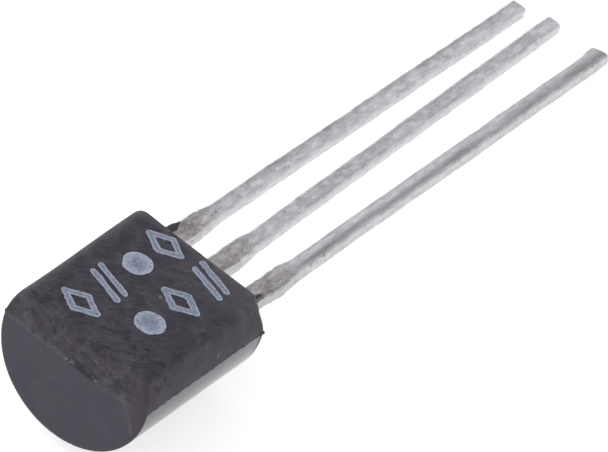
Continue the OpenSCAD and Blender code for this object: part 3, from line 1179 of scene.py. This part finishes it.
    def gate_scar(self, y: float, z: float) -> float:
        """How deep the gate is torn out of the top end.

        Args:
            y: Place across the body.
            z: Height there.

        Returns:
            The depth in millimetres, 0 away from the gate.
        """
        s = self.sizes
        middle = s.parting_h - 0.02
        ragged = 0.08 * ripple(self.seed, 9 * y, 9 * z)
        across = 1 - smoothstep(0.36, 0.52, abs(y - self.gate_y) / s.gate_w + ragged)
        along = 1 - smoothstep(0.20, 0.60, abs(z - middle) / s.gate_h + ragged)
        torn = 0.8 + 0.5 * ripple(self.seed + 1, 14 * y, 12 * z)
        torn += 0.3 * ripple(self.seed + 2, 34 * y, 30 * z)
        return s.gate_depth * 1.1 * across * along * max(torn, 0.1)

    def roughen(self, points: np.ndarray) -> np.ndarray:
        """Wears the rings a little: wavy walls and nicked edges.

        Args:
            points: Points (ring, place, XYZ) of one side.

        Returns:
            The worn points.
        """
        middle = np.array([self.sizes.top_x / 2, 0.0, 0.0])
        worn = points.copy()
        for ring in range(points.shape[0]):
            edge = min(ring, points.shape[0] - 1 - ring) <= self.fillet_rings
            for k in range(points.shape[1]):
                x, y, z = points[ring, k]
                inward = middle - points[ring, k]
                inward /= np.linalg.norm(inward)
                depth = 0.003 * (1 + ripple(self.seed, 1.1 * x, 1.1 * y, 1.1 * z))
                if edge:
                    depth += 0.009 * max(ripple(self.seed + 4, 5 * x, 5 * y, 5 * z) - 0.1, 0.0)
                swell = smoothstep(-4.2, -0.2, x) * smoothstep(0.15, 0.85, z) * smoothstep(1.0, 1.7, y)
                worn[ring, k] += inward * depth + np.array(self.far_swell) * swell
                bulge = smoothstep(-0.6, -0.05, x) * smoothstep(1.5, 2.0, -y) * smoothstep(-1.7, -1.0, z)
                bulge *= 1 - smoothstep(0.35, 0.8, z)
                worn[ring, k, 0] += self.near_bulge * bulge
        return worn

    def build(
        self, dull: bpy.types.Material, end: bpy.types.Material, wall: bpy.types.Material
    ) -> bpy.types.Object:
        """Makes the body.

        Args:
            dull: Finish of the flat half.
            end: Finish of the round half's ends.
            wall: Finish of the round back.

        Returns:
            The piece.
        """
        outline, flash = self.half_outline()
        right = self.rings(outline, flash, 1)
        left = self.rings(outline, flash, -1)[:, -2:0:-1]
        loop = np.concatenate([self.roughen(right), self.roughen(left)], axis=1)
        half = len(outline)
        seam = int(np.flatnonzero(flash == 1.0)[0])
        shape = Shape()
        numbers = shape.add(loop)
        size = loop.shape[1]

        def finish(k: int) -> BodySkin:
            """The finish at a place round the skin: dull above the seam."""
            below = (k if k < half - 1 else size - 1 - k) >= seam
            return BodySkin.WALL if below else BodySkin.DULL

        shape.skin(numbers, finish)
        self.close_end(shape, numbers[0], loop[0], flash, seam, top=True)
        self.close_end(shape, numbers[-1], loop[-1], flash, seam, top=False)
        for scrap in self.scraps:
            self.add_scrap(shape, scrap)
        piece = shape.build("moulding", self.placement, (dull, end, wall), crease=50.0)
        settle(piece, "moulded_body")
        return piece

    def add_scrap(self, shape: Shape, scrap: RootScrap) -> None:
        """Adds a scrap of resin on a lead's root.

        Args:
            shape: The mesh.
            scrap: The scrap.
        """
        rows = []
        profile = np.array(self.scrap_profile)
        for t in np.linspace(0.0, 1.0, self.scrap_rings):
            x = -self.scrap_root + (scrap.length + self.scrap_root) * t
            ragged = 1 + 0.4 * ripple(scrap.seed, 5 * x) + 0.25 * ripple(scrap.seed + 3, 13 * x)
            half = scrap.width / 2 * (1 - t**5) * max(ragged, 0.75) * (1.3 - 0.3 * t) + 0.012
            thick = self.scrap_t * (1 - 0.5 * t)
            y = scrap.middle_y + (scrap.tip_y - scrap.middle_y) * t + 0.03 * ripple(scrap.seed + 1, 3 * x)
            sides = range(len(profile))
            rough = np.array([1 + 0.3 * ripple(scrap.seed + 2, 9 * x, 2.0 * side) for side in sides])
            rows.append(np.column_stack([
                np.full(len(profile), x),
                y + half * profile[:, 0] * rough,
                self.sizes.parting_h - 0.008 + thick * profile[:, 1] * rough,
            ]))
        shape.tube(np.array(rows))

    def close_end(
        self, shape: Shape, numbers: np.ndarray, ring: np.ndarray, flash: np.ndarray, seam: int, top: bool
    ) -> None:
        """Closes one end with rows from side to side.

        Args:
            shape: The mesh.
            numbers: The end ring's point numbers.
            ring: Its points.
            flash: The flash's share at each place of the half outline.
            seam: Place of the flash's ridge in the half outline.
            top: Whether this is the top end, with the gate scar.
        """
        columns = self.flat_columns()
        last = len(columns) - 1
        half = len(flash)
        inwards = 1 if top else -1
        shares = np.concatenate([-columns[:0:-1], columns]) / columns[-1]
        rows = [np.concatenate([numbers[-last:], numbers[: last + 1]])]
        for k in range(last + 1, half - 1):
            right, left = ring[k], ring[-k]
            t = ((shares + 1) / 2)[1:-1, None]
            inner = left + (right - left) * t
            if flash[k]:
                foot = (self.sizes.top_x if top else 0.0) + inwards * self.end_inset(inner[:, 2])
                reach = np.array([self.flash_reach(x, y) for x, y, _ in inner])
                inner[:, 0] = foot - inwards * flash[k] * reach
            if top:
                inner[:, 0] += [self.gate_scar(y, z) for _, y, z in inner]
            rows.append(np.concatenate([[numbers[-k]], shape.add(inner), [numbers[k]]]))
        for k, (high, low) in enumerate(zip(rows[:-1], rows[1:]), start=last):
            finish = BodySkin.END if k >= seam else BodySkin.DULL
            for c in range(len(high) - 1):
                shape.face((high[c], high[c + 1], low[c + 1], low[c]), finish)
        bottom = numbers[half - 1]
        for first, second in zip(rows[-1][:-1], rows[-1][1:]):
            shape.face((first, second, bottom), BodySkin.END)


# --- Leads -----------------------------------------------------------------------------------------
@dataclass(frozen=True)
class InnerEnd:
    """What a lead ends in inside the moulding: a post, a head or the paddle that carries the chip.

    Args:
        start: Distance from the lead end of the body to its near edge.
        length: Its length along the lead.
        minus: How far it reaches from the lead's middle line towards -Y.
        plus: How far it reaches towards +Y.
        hole: The locking hole's distance from the far edge, distance from the +Y edge and radius.
    """

    start: float
    length: float
    minus: float
    plus: float
    hole: Optional[tuple[float, float, float]] = None

    @property
    def far_x(self) -> float:
        """Where its far edge is along X."""
        return -self.start - self.length


@dataclass
class Lead:
    """One stamped and hot-dipped lead with its end inside the body.

    Args:
        sizes: The package's sizes.
        placement: Where the package lies.
        node: The node that it stands for.
        middle_y: Its middle line at the body.
        length: How far it reaches out of the body.
        inner: What it ends in inside the body.
        seed: Sets its unevenness apart from the other leads'.
        lean: How far it leans towards +Y, in degrees.
        turn: How far it is twisted beyond its shoulder, in degrees.
        far_swell: How far the dip swells its +Y side.
        near_swell: How far the dip swells its -Y side.
        tip_flare: How much wider its +Y side is at the tip.
        root_flare: How much wider its -Y side is at the root; narrower where this is under 0.
        groove: Strength of the worn groove along its top.
    """

    sizes: PackageSizes
    placement: Placement
    node: str
    middle_y: float
    length: float
    inner: InnerEnd
    seed: float
    lean: float = 0.0
    turn: float = 0.0
    far_swell: float = 0.05
    near_swell: float = 0.02
    tip_flare: float = 0.0
    root_flare: float = 0.0
    groove: float = 0.0
    plate_inset: float = 0.04
    notch_x: float = 0.5
    notch_r: float = 0.12
    notch_points: int = 9
    hole_points: int = 24
    ring_step: float = 0.05
    arc_points: int = 5
    face_points: int = 7
    side_points: int = 5
    crown: float = 0.018
    root_l: float = 0.05
    tip_steps: Sequence[tuple[float, float]] = ((0.06, 0.004), (0.03, 0.016), (0.01, 0.034), (0.0, 0.06))

    def strip_outline(self) -> list[tuple[float, float]]:
        """Draws what is inside the body, with the two notches that lock it in the moulding.

        Returns:
            Its outline (X, Y), round the lead's middle line.
        """
        w = self.sizes.shoulder_w / 2
        near, far = -self.inner.start, self.inner.far_x
        turns = np.radians(np.linspace(0.0, 180.0, self.notch_points))
        r = self.notch_r
        notch = [(-self.notch_x + r * math.cos(a), -w + r * math.sin(a)) for a in turns]
        one_side = [(-self.plate_inset, -w), *notch]
        other_side = [(x, -y) for x, y in reversed(one_side)]
        minus, plus = -self.inner.minus, self.inner.plus
        end = [(near, -w), (near, minus), (far, minus), (far, plus), (near, plus), (near, w)]
        return one_side + end + other_side

    def add_inner(self, shape: Shape) -> None:
        """Adds the stamped plate inside the body.

        Args:
            shape: The lead's mesh.
        """
        loops = [self.strip_outline()]
        if self.inner.hole:
            inset_x, inset_y, radius = self.inner.hole
            x, y = self.inner.far_x + inset_x, self.inner.plus - inset_y
            turns = np.radians(np.linspace(0.0, 360.0, self.hole_points + 1)[:-1])
            loops.append([(x + radius * math.cos(a), y - radius * math.sin(a)) for a in turns])
        flat = [np.array([(x, y + self.middle_y) for x, y in loop]) for loop in loops]
        triangles = tessellate_polygon([[Vector((*p, 0.0)) for p in loop] for loop in flat])
        levels = []
        for height in (self.sizes.parting_h, self.sizes.parting_h - self.sizes.lead_t):
            rows = [shape.add(np.column_stack([loop, np.full(len(loop), height)])) for loop in flat]
            every = np.concatenate(rows)
            for corners in triangles:
                shape.face([every[c] for c in corners])
            levels.append(rows)
        for upper, lower in zip(*levels):
            shape.skin(np.array([upper, lower]))

    def section(self) -> np.ndarray:
        """Lays out the lead's section.

        Returns:
            Its points as (share of width, corner Y, share of height, corner Z), one a row.
        """
        rows = []
        corners = [(1, 1, 0.0), (-1, 1, 90.0), (-1, -1, 180.0), (1, -1, 270.0)]
        for (side, level, start), (next_side, next_level, _) in zip(corners, corners[1:] + corners[:1]):
            for a in np.radians(np.linspace(start, start + 90.0, self.arc_points)):
                rows.append((side, math.cos(a), level, math.sin(a)))
            _, corner_y, _, corner_z = rows[-1]
            between = self.face_points if next_level == level else self.side_points
            for t in np.linspace(0.0, 1.0, between + 2)[1:-1]:
                along, up = side + (next_side - side) * t, level + (next_level - level) * t
                rows.append((along, corner_y, up, corner_z))
        return np.array(rows)

    def half_width(self, x: float, side: int) -> float:
        """Half width of the lead on one side, at a distance from the body.

        Args:
            x: Distance from the lead end of the body.
            side: -1 for the side towards the emitter lead, 1 for the other.

        Returns:
            Distance from the middle line to the wavy edge.
        """
        s = self.sizes
        mark = self.seed + 3 * side
        cut = s.shoulder_l + 0.15 * ripple(mark, 0.3) + (0.12 if side > 0 else 0.0)
        taper = smoothstep(cut - (0.75 if side < 0 else 0.25), cut + s.taper_l, x)
        shoulder = s.shoulder_w / 2 - 0.01 + 0.035 * ripple(mark, 1.3 * x)
        shoulder += 0.022 * ripple(mark + 1, 4.5 * x)
        shoulder += 0.022 * ripple(mark + 5, 11 * x)
        slender = s.lead_w / 2 + 0.012 * ripple(mark + 2, 0.9 * x)
        slender += 0.008 * ripple(mark + 4, 4.2 * x)
        slender += 0.010 * ripple(mark + 6, 9 * x)
        flare = self.tip_flare * smoothstep(self.length - 0.7, self.length - 0.15, x)
        root = self.root_flare * (1 - smoothstep(1.1, 1.9, x))
        swell = self.far_swell + flare if side > 0 else self.near_swell + root
        return shoulder + (slender - shoulder) * taper + swell

    def ring(self, x: float, section: np.ndarray, shrink: float = 0.0) -> np.ndarray:
        """Points of the lead's skin at one station.

        Args:
            x: Distance from the lead end of the body, along the lead.
            section: The section's points.
            shrink: How far the whole section is drawn in, for the tip.

        Returns:
            The ring's points.
        """
        s = self.sizes
        side, corner_y, level, corner_z = section.T
        radius = s.lead_edge_r + 0.02 * ripple(self.seed + 7, 1.5 * x)
        width = np.where(side > 0, self.half_width(x, 1), self.half_width(x, -1)) - shrink
        height = s.lead_t / 2 - shrink
        y = side * (width - radius) + corner_y * radius
        z = level * (height - radius) + corner_z * radius
        z -= np.where(np.abs(level) == 1, self.crown * level * side**2, 0.0)
        lumps = [self.lump(x, a, b) for a, b in zip(y, z)]
        size = np.hypot(y, z)
        y, z = y * (1 - lumps / size), z * (1 - lumps / size)
        a = -math.radians(self.turn) * smoothstep(s.shoulder_l - 0.5, s.shoulder_l + 0.9, x)
        y, z = y * math.cos(a) - z * math.sin(a), y * math.sin(a) + z * math.cos(a)
        run = max(x - s.shoulder_l, 0.0)
        sway = self.middle_y + run * math.tan(math.radians(self.lean))
        sway += 0.012 * ripple(self.seed + 8, 0.35 * x)
        return np.column_stack([np.full(len(y), x), y + sway, z + s.lead_middle_h])

    def lump(self, x: float, y: float, z: float) -> float:
        """How far the lumpy skin is drawn in at a point of the section.

        Args:
            x: Distance from the lead end of the body.
            y: Place across the section.
            z: Height in the section.

        Returns:
            The distance in millimetres, never under 0.
        """
        rough = 0.5 + 0.5 * ripple(self.seed, 2.6 * x, 5 * y, 5 * z)
        fine = 0.5 + 0.5 * ripple(self.seed + 9, 8 * x, 11 * y, 11 * z)
        return 0.010 * rough + 0.007 * fine

    def stations(self) -> list[tuple[float, float]]:
        """Places the rings, from just inside the body to the tip.

        Returns:
            Each ring's place along the lead and how far it is drawn in.
        """
        tip = self.length / math.cos(math.radians(self.lean))
        count = round((tip - 0.12) / self.ring_step)
        run = [(x, 0.0) for x in np.linspace(-self.root_l, tip - 0.1, count)]
        return run + [(tip - back, shrink) for back, shrink in self.tip_steps]

    def skin_values(self, x: float, section: np.ndarray) -> np.ndarray:
        """The skin's values at one station.

        Args:
            x: Distance from the lead end of the body.
            section: The section's points.

        Returns:
            One row a point: the flank, which grows from the faces to the cut sides, the groove's
            strength, and the place across the lead from -1 to 1.
        """
        side, corner_y, level, _ = section.T
        flank = np.abs(corner_y) - 0.6 * (1 - np.abs(side)) + 0.6 * (1 - np.abs(level))
        middle = -0.58 + 0.18 * ripple(self.seed + 12, 0.5 * x) + 0.1 * ripple(self.seed + 13, 1.7 * x)
        spread = 0.60 + 0.16 * smoothstep(5.0, 11.0, x) + 0.2 * ripple(self.seed + 14, 0.8 * x)
        spread = spread + np.where(side > middle, 0.5 * smoothstep(7.0, 12.0, x), 0.0)
        kept = 0.72 - 0.03 * smoothstep(5.0, 9.0, x) + 0.40 * ripple(self.seed + 15, 0.6 * x)
        kept *= smoothstep(1.6, 3.2, x)
        streak = np.exp(-(((side - middle) / spread) ** 2)) * (level == 1) * max(kept, 0.0)
        return np.column_stack([flank, self.groove * streak, side])

    def build(self, finish: DippedTin, tin: bpy.types.Material) -> bpy.types.Object:
        """Makes the lead.

        Args:
            finish: The finish, which names the skin's values.
            tin: Its material.

        Returns:
            The piece.
        """
        shape = Shape(finish.flank, finish.streak, finish.across)
        self.add_inner(shape)
        section = self.section()
        stations = self.stations()
        rings = np.array([self.ring(x, section, shrink) for x, shrink in stations])
        shape.tube(rings, np.array([self.skin_values(x, section) for x, _ in stations]))
        piece = shape.build(self.node.replace("_lead", "_leg"), self.placement, (tin,))
        settle(piece, self.node)
        return piece


def stamped_leads(sizes: PackageSizes, placement: Placement) -> Sequence[Lead]:
    """Plans the three leads.

    Args:
        sizes: The package's sizes.
        placement: Where the package lies.

    Returns:
        The emitter, base and collector leads.
    """
    half = sizes.shoulder_w / 2
    post = InnerEnd(start=1.75, length=0.8, minus=half + 0.12, plus=half)
    head = InnerEnd(start=0.75, length=0.45, minus=0.475, plus=0.475)
    paddle = InnerEnd(
        start=1.55, length=2.0, minus=sizes.paddle_w - half, plus=half, hole=(0.4, 0.4, 0.18)
    )
    return (
        Lead(
            sizes, placement, "emitter_lead", -sizes.lead_pitch, sizes.emitter_l, post, seed=1.0,
            turn=12.0, far_swell=0.07, tip_flare=0.07, root_flare=-0.07, groove=1.0,
        ),
        Lead(sizes, placement, "base_lead", 0.0, sizes.base_l, head, seed=21.0, lean=1.2, groove=0.2),
        Lead(sizes, placement, "collector_lead", sizes.lead_pitch, sizes.collector_l, paddle, seed=41.0),
    )


# --- Marking ---------------------------------------------------------------------------------------
Stroke = tuple[tuple[float, float], tuple[float, float]]


class Mark(Enum):
    """Plain shapes that fill the printed rows."""

    LOZENGE = "lozenge"
    HATCH = "hatch"
    DOT = "dot"


@dataclass
class Marking:
    """Two rows of plain printed shapes, each a film of ink with soft, uneven edges."""

    sizes: PackageSizes
    placement: Placement
    stroke_w: float = 0.19
    mark_h: float = 1.2
    mark_w: float = 0.8
    row_step: float = 1.5
    long_row_x: float = 0.6
    long_row_step: float = 1.1
    short_row_x: float = 0.65
    short_row_step: float = 1.2
    cell: float = 0.02
    wobble: float = 0.028
    nick: float = 0.012
    sink: float = 0.01
    edge_t: float = 0.012
    wear: float = 0.55
    seed: float = 11.0
    long_row: Sequence[Mark] = (Mark.LOZENGE, Mark.DOT, Mark.HATCH, Mark.LOZENGE)
    short_row: Sequence[Mark] = (Mark.HATCH, Mark.LOZENGE, Mark.DOT)

    def strokes(self, mark: Mark) -> tuple[list[Stroke], float]:
        """Draws a mark's strokes, round its own middle.

        Args:
            mark: Which shape.

        Returns:
            The strokes' middle lines and their half width.
        """
        hx, hy = (self.mark_w - self.stroke_w) / 2, (self.mark_h - self.stroke_w) / 2
        if mark is Mark.DOT:
            return [((0.0, 0.0), (0.0, 0.0))], self.mark_w / 2
        if mark is Mark.HATCH:
            bars = [((side * hx / 2 - hx / 2, -hy), (side * hx / 2 + hx / 2, hy)) for side in (-1, 1)]
            return bars, self.stroke_w / 2
        corners = [(hx, 0.0), (0.0, hy), (-hx, 0.0), (0.0, -hy)]
        return list(zip(corners, corners[1:] + corners[:1])), self.stroke_w / 2

    @staticmethod
    def distance(x: float, y: float, stroke: Stroke) -> float:
        """Measures from a point to a stroke's middle line.

        Args:
            x: The point along the leads.
            y: The point across them.
            stroke: The stroke's two ends.

        Returns:
            The distance.
        """
        (ax, ay), (bx, by) = stroke
        run = (bx - ax) ** 2 + (by - ay) ** 2
        t = min(max(((x - ax) * (bx - ax) + (y - ay) * (by - ay)) / run, 0.0), 1.0) if run else 0.0
        return math.hypot(x - ax - t * (bx - ax), y - ay - t * (by - ay))

    def places(self) -> list[tuple[Mark, float, float]]:
        """Places the marks in their two rows.

        Returns:
            Each mark and where its middle is on the flat.
        """
        rows = ((self.short_row, self.short_row_x, self.short_row_step, -1),
                (self.long_row, self.long_row_x, self.long_row_step, 1))
        return [(mark, -start - i * step, side * self.row_step / 2)
                for row, start, step, side in rows for i, mark in enumerate(row)]

    def add_mark(self, shape: Shape, mark: Mark, x0: float, y0: float) -> None:
        """Adds one mark: a film that follows its strokes, cut at their edges.

        Args:
            shape: The mesh.
            mark: Which shape.
            x0: Where its middle is along the leads.
            y0: Where its middle is across the leads.
        """
        strokes, reach = self.strokes(mark)
        nx, ny = (math.ceil(size / 2 / self.cell) + 2 for size in (self.mark_w, self.mark_h))
        inside: dict[tuple[int, int], float] = {}
        for i in range(-nx, nx + 1):
            for j in range(-ny, ny + 1):
                x, y = i * self.cell, j * self.cell
                uneven = self.wobble * ripple(self.seed, 3.4 * (x + x0), 3.4 * (y + y0))
                uneven += self.nick * ripple(self.seed + 1, 12 * (x + x0), 12 * (y + y0)) - 0.01
                inside[i, j] = reach + uneven - min(self.distance(x, y, stroke) for stroke in strokes)
        film: dict[tuple[tuple[int, int], tuple[int, int]], int] = {}
        foot = self.sizes.flat_h - self.sink

        def point(a: tuple[int, int], b: tuple[int, int]) -> int:
            """Adds the point at a corner of the grid or where the film ends, and one under it.

            Args:
                a: A corner of the grid.
                b: The next one, or the same one again.

            Returns:
                The upper point's number; the lower one's is one more.
            """
            key = (min(a, b), max(a, b))
            if key not in film:
                t = 0.0 if a == b else inside[key[0]] / (inside[key[0]] - inside[key[1]])
                x, y = (self.cell * (p + (q - p) * t) for p, q in zip(*key))
                depth = min(max(inside[a], 0.0) / reach, 1.0) if a == b else 0.0
                kept = 1 - self.wear * smoothstep(0.15, 0.8, depth)
                top = foot + self.edge_t + (self.sizes.ink_t - 0.002) * kept
                top = min(top, self.sizes.flat_h + self.sizes.ink_t)
                pair = [(x0 + x, y0 + y, top), (x0 + x, y0 + y, foot)]
                film[key] = int(shape.add(pair, [[depth]] * 2)[0])
            return film[key]

        for i in range(-nx, nx):
            for j in range(-ny, ny):
                corners = [(i, j), (i + 1, j), (i + 1, j + 1), (i, j + 1)]
                loop: list[int] = []
                cuts: list[int] = []
                for a, b in zip(corners, corners[1:] + corners[:1]):
                    if inside[a] > 0:
                        loop.append(point(a, a))
                    if (inside[a] > 0) != (inside[b] > 0):
                        cuts.append(point(a, b))
                        loop.append(cuts[-1])
                shape.face(loop)
                shape.face([number + 1 for number in reversed(loop)])
                for first, second in zip(cuts[::2], cuts[1::2]):
                    shape.face((first, second, second + 1, first + 1))

    def build(self, ink: WornInk) -> bpy.types.Object:
        """Makes the marks.

        Args:
            ink: Their finish, which names the value that their points carry.

        Returns:
            The piece.
        """
        shape = Shape(ink.depth)
        for mark, x, y in self.places():
            self.add_mark(shape, mark, x, y)
        piece = shape.build("printed_marks", self.placement, (ink.build(),))
        settle(piece, "marking_ink")
        return piece


# --- Chip and bond wires ---------------------------------------------------------------------------
@dataclass
class ChipAssembly:
    """The chip, its solder and its bond wires, which keep their nodes and get their finishes."""

    placement: Placement
    finishes: Mapping[str, InnerMetal] = field(default_factory=lambda: {
        "die_attach": InnerMetal.SOLDER,
        "transistor_die": InnerMetal.SILICON,
        "emitter_bond_wire": InnerMetal.GOLD,
        "base_bond_wire": InnerMetal.GOLD,
    })

    def dress(self) -> None:
        """Gives each node its material."""
        made = {metal: InnerFinish(self.placement, metal).build() for metal in InnerMetal}
        for name, metal in self.finishes.items():
            mesh = frame["nodes"][name].data
            mesh.materials.clear()
            mesh.materials.append(made[metal])
            LOG.info("node %s: %s", name, made[metal].name)


# --- Studio ----------------------------------------------------------------------------------------
@dataclass
class Studio:
    """A white table, an even sky and one soft lamp."""

    centre: Vector
    white: Colour = (1.0, 1.0, 1.0)
    table_size: float = 6.0
    table_colour: Colour = (0.74, 0.74, 0.745)
    table_glow: float = 0.62
    mirror_glow: float = 0.48
    sky_high: Colour = (0.64, 0.64, 0.65)
    sky_low: Colour = (0.95, 0.95, 0.955)
    sky_level: float = 1.0
    lamp_level: float = 0.45
    lamp_size: float = 0.22
    lamp_at: tuple[float, float, float] = (-0.16, 0.22, 0.30)

    def add_table(self) -> None:
        """The table: pale, white to the camera and in mirrored light, with the part's shadow."""
        mesh = bpy.data.meshes.new("table")
        h = self.table_size / 2
        mesh.from_pydata([(-h, -h, 0.0), (h, -h, 0.0), (h, h, 0.0), (-h, h, 0.0)], [], [(0, 1, 2, 3)])
        material, g = new_material("white_table")
        paper = g.node("ShaderNodeBsdfDiffuse", values={"Color": self.table_colour})
        rays = ("Is Camera Ray", "Is Glossy Ray", "Is Transmission Ray")
        seen, mirrored, passed = (g.node("ShaderNodeLightPath", output=ray) for ray in rays)
        level = seen * self.table_glow + (mirrored + passed) * self.mirror_glow
        glow = g.node("ShaderNodeEmission", values={"Color": self.white, "Strength": level})
        g.surface(g.node("ShaderNodeAddShader", values={0: paper, 1: glow}))
        mesh.materials.append(material)
        new_object("table", mesh)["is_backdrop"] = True

    def add_sky(self) -> None:
        """The sky: bright round the table and greyer overhead, white where the camera sees it."""
        world = bpy.data.worlds.new("studio_sky")
        bpy.context.scene.world = world
        world.use_nodes = True
        g = Graph(world.node_tree)
        direction = g.node("ShaderNodeTexCoord", output="Generated")
        height = g.node("ShaderNodeSeparateXYZ", values={"Vector": direction}, output="Z")
        seen = g.node("ShaderNodeLightPath", output="Is Camera Ray")
        colour = g.coats(self.sky_low, (height.rise(0.1, 0.6), self.sky_high), (seen, self.white))
        level = self.sky_level + seen * (1 - self.sky_level)
        sky = g.node("ShaderNodeBackground", values={"Color": colour, "Strength": level})
        g.surface(sky, "ShaderNodeOutputWorld")

    def add_lamp(self) -> None:
        """One large soft lamp above the part."""
        data = bpy.data.lights.new("soft_lamp", "AREA")
        data.shape = "DISK"
        data.size = self.lamp_size
        data.energy = self.lamp_level
        lamp = new_object("soft_lamp", data)
        lamp.location = self.centre + Vector(self.lamp_at)
        lamp.rotation_mode = "QUATERNION"
        lamp.rotation_quaternion = Vector(self.lamp_at).to_track_quat("Z", "Y")


@dataclass
class ProductCamera:
    """A long lens that looks down on the part from beside its top end.

    Args:
        centre: Middle of the part, in metres.
        aim: From there to the point that is looked at, in millimetres.
        azimuth: Direction of the camera, in degrees from +X towards +Y.
        elevation: Its angle above the table, in degrees.
        roll: How far it is turned about its own axis, in degrees.
        distance: From the camera to the point that is looked at, in millimetres.
        lens: Focal length in millimetres.
        sensor: Width of its sensor in millimetres.
        clip: Nearest and farthest distance that it sees, in metres.
    """

    centre: Vector
    aim: tuple[float, float, float] = (-1.846, -0.525, 0.06)
    azimuth: float = -152.837
    elevation: float = 46.586
    roll: float = 16.202
    distance: float = 126.864
    lens: float = 302.279
    sensor: float = 36.0
    clip: tuple[float, float] = (0.01, 10.0)

    def build(self) -> None:
        """Makes the camera and makes it the scene's."""
        data = bpy.data.cameras.new("product_camera")
        data.sensor_width = self.sensor
        data.lens = self.lens
        data.clip_start, data.clip_end = self.clip
        camera = new_object("product_camera", data)
        a, e = math.radians(self.azimuth), math.radians(self.elevation)
        back = Vector((math.cos(a) * math.cos(e), math.sin(a) * math.cos(e), math.sin(e)))
        target = self.centre + Vector(self.aim) / MM_PER_M
        level = (-back).to_track_quat("-Z", "Y").to_matrix()
        turned = level @ Matrix.Rotation(math.radians(self.roll), 3, "Z")
        stand = Matrix.Translation(target + back * self.distance / MM_PER_M)
        camera.matrix_world = stand @ turned.to_4x4()
        bpy.context.scene.camera = camera


def main() -> None:
    """Builds the studio and dresses the part."""
    logging.basicConfig(level=logging.INFO, format="%(message)s")
    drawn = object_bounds()
    sizes = PackageSizes()
    placement = Placement.from_record(frame["record"], sizes)
    centre = (drawn[0] + drawn[1]) / 2
    bpy.context.scene.view_settings.view_transform = "Standard"
    ProductCamera(centre).build()
    studio = Studio(centre)
    studio.add_table()
    studio.add_sky()
    studio.add_lamp()

    MouldedBody(sizes, placement).build(
        DullMoulding(placement, sizes).build(),
        SmoothMoulding(placement, sizes, Gloss.SMOOTH).build(),
        SmoothMoulding(placement, sizes, Gloss.POLISHED).build(),
    )
    dipped = DippedTin(placement)
    tin = dipped.build()
    for lead in stamped_leads(sizes, placement):
        lead.build(dipped, tin)
    Marking(sizes, placement).build(WornInk(placement))
    ChipAssembly(placement).dress()


if __name__ == "__main__":
    main()
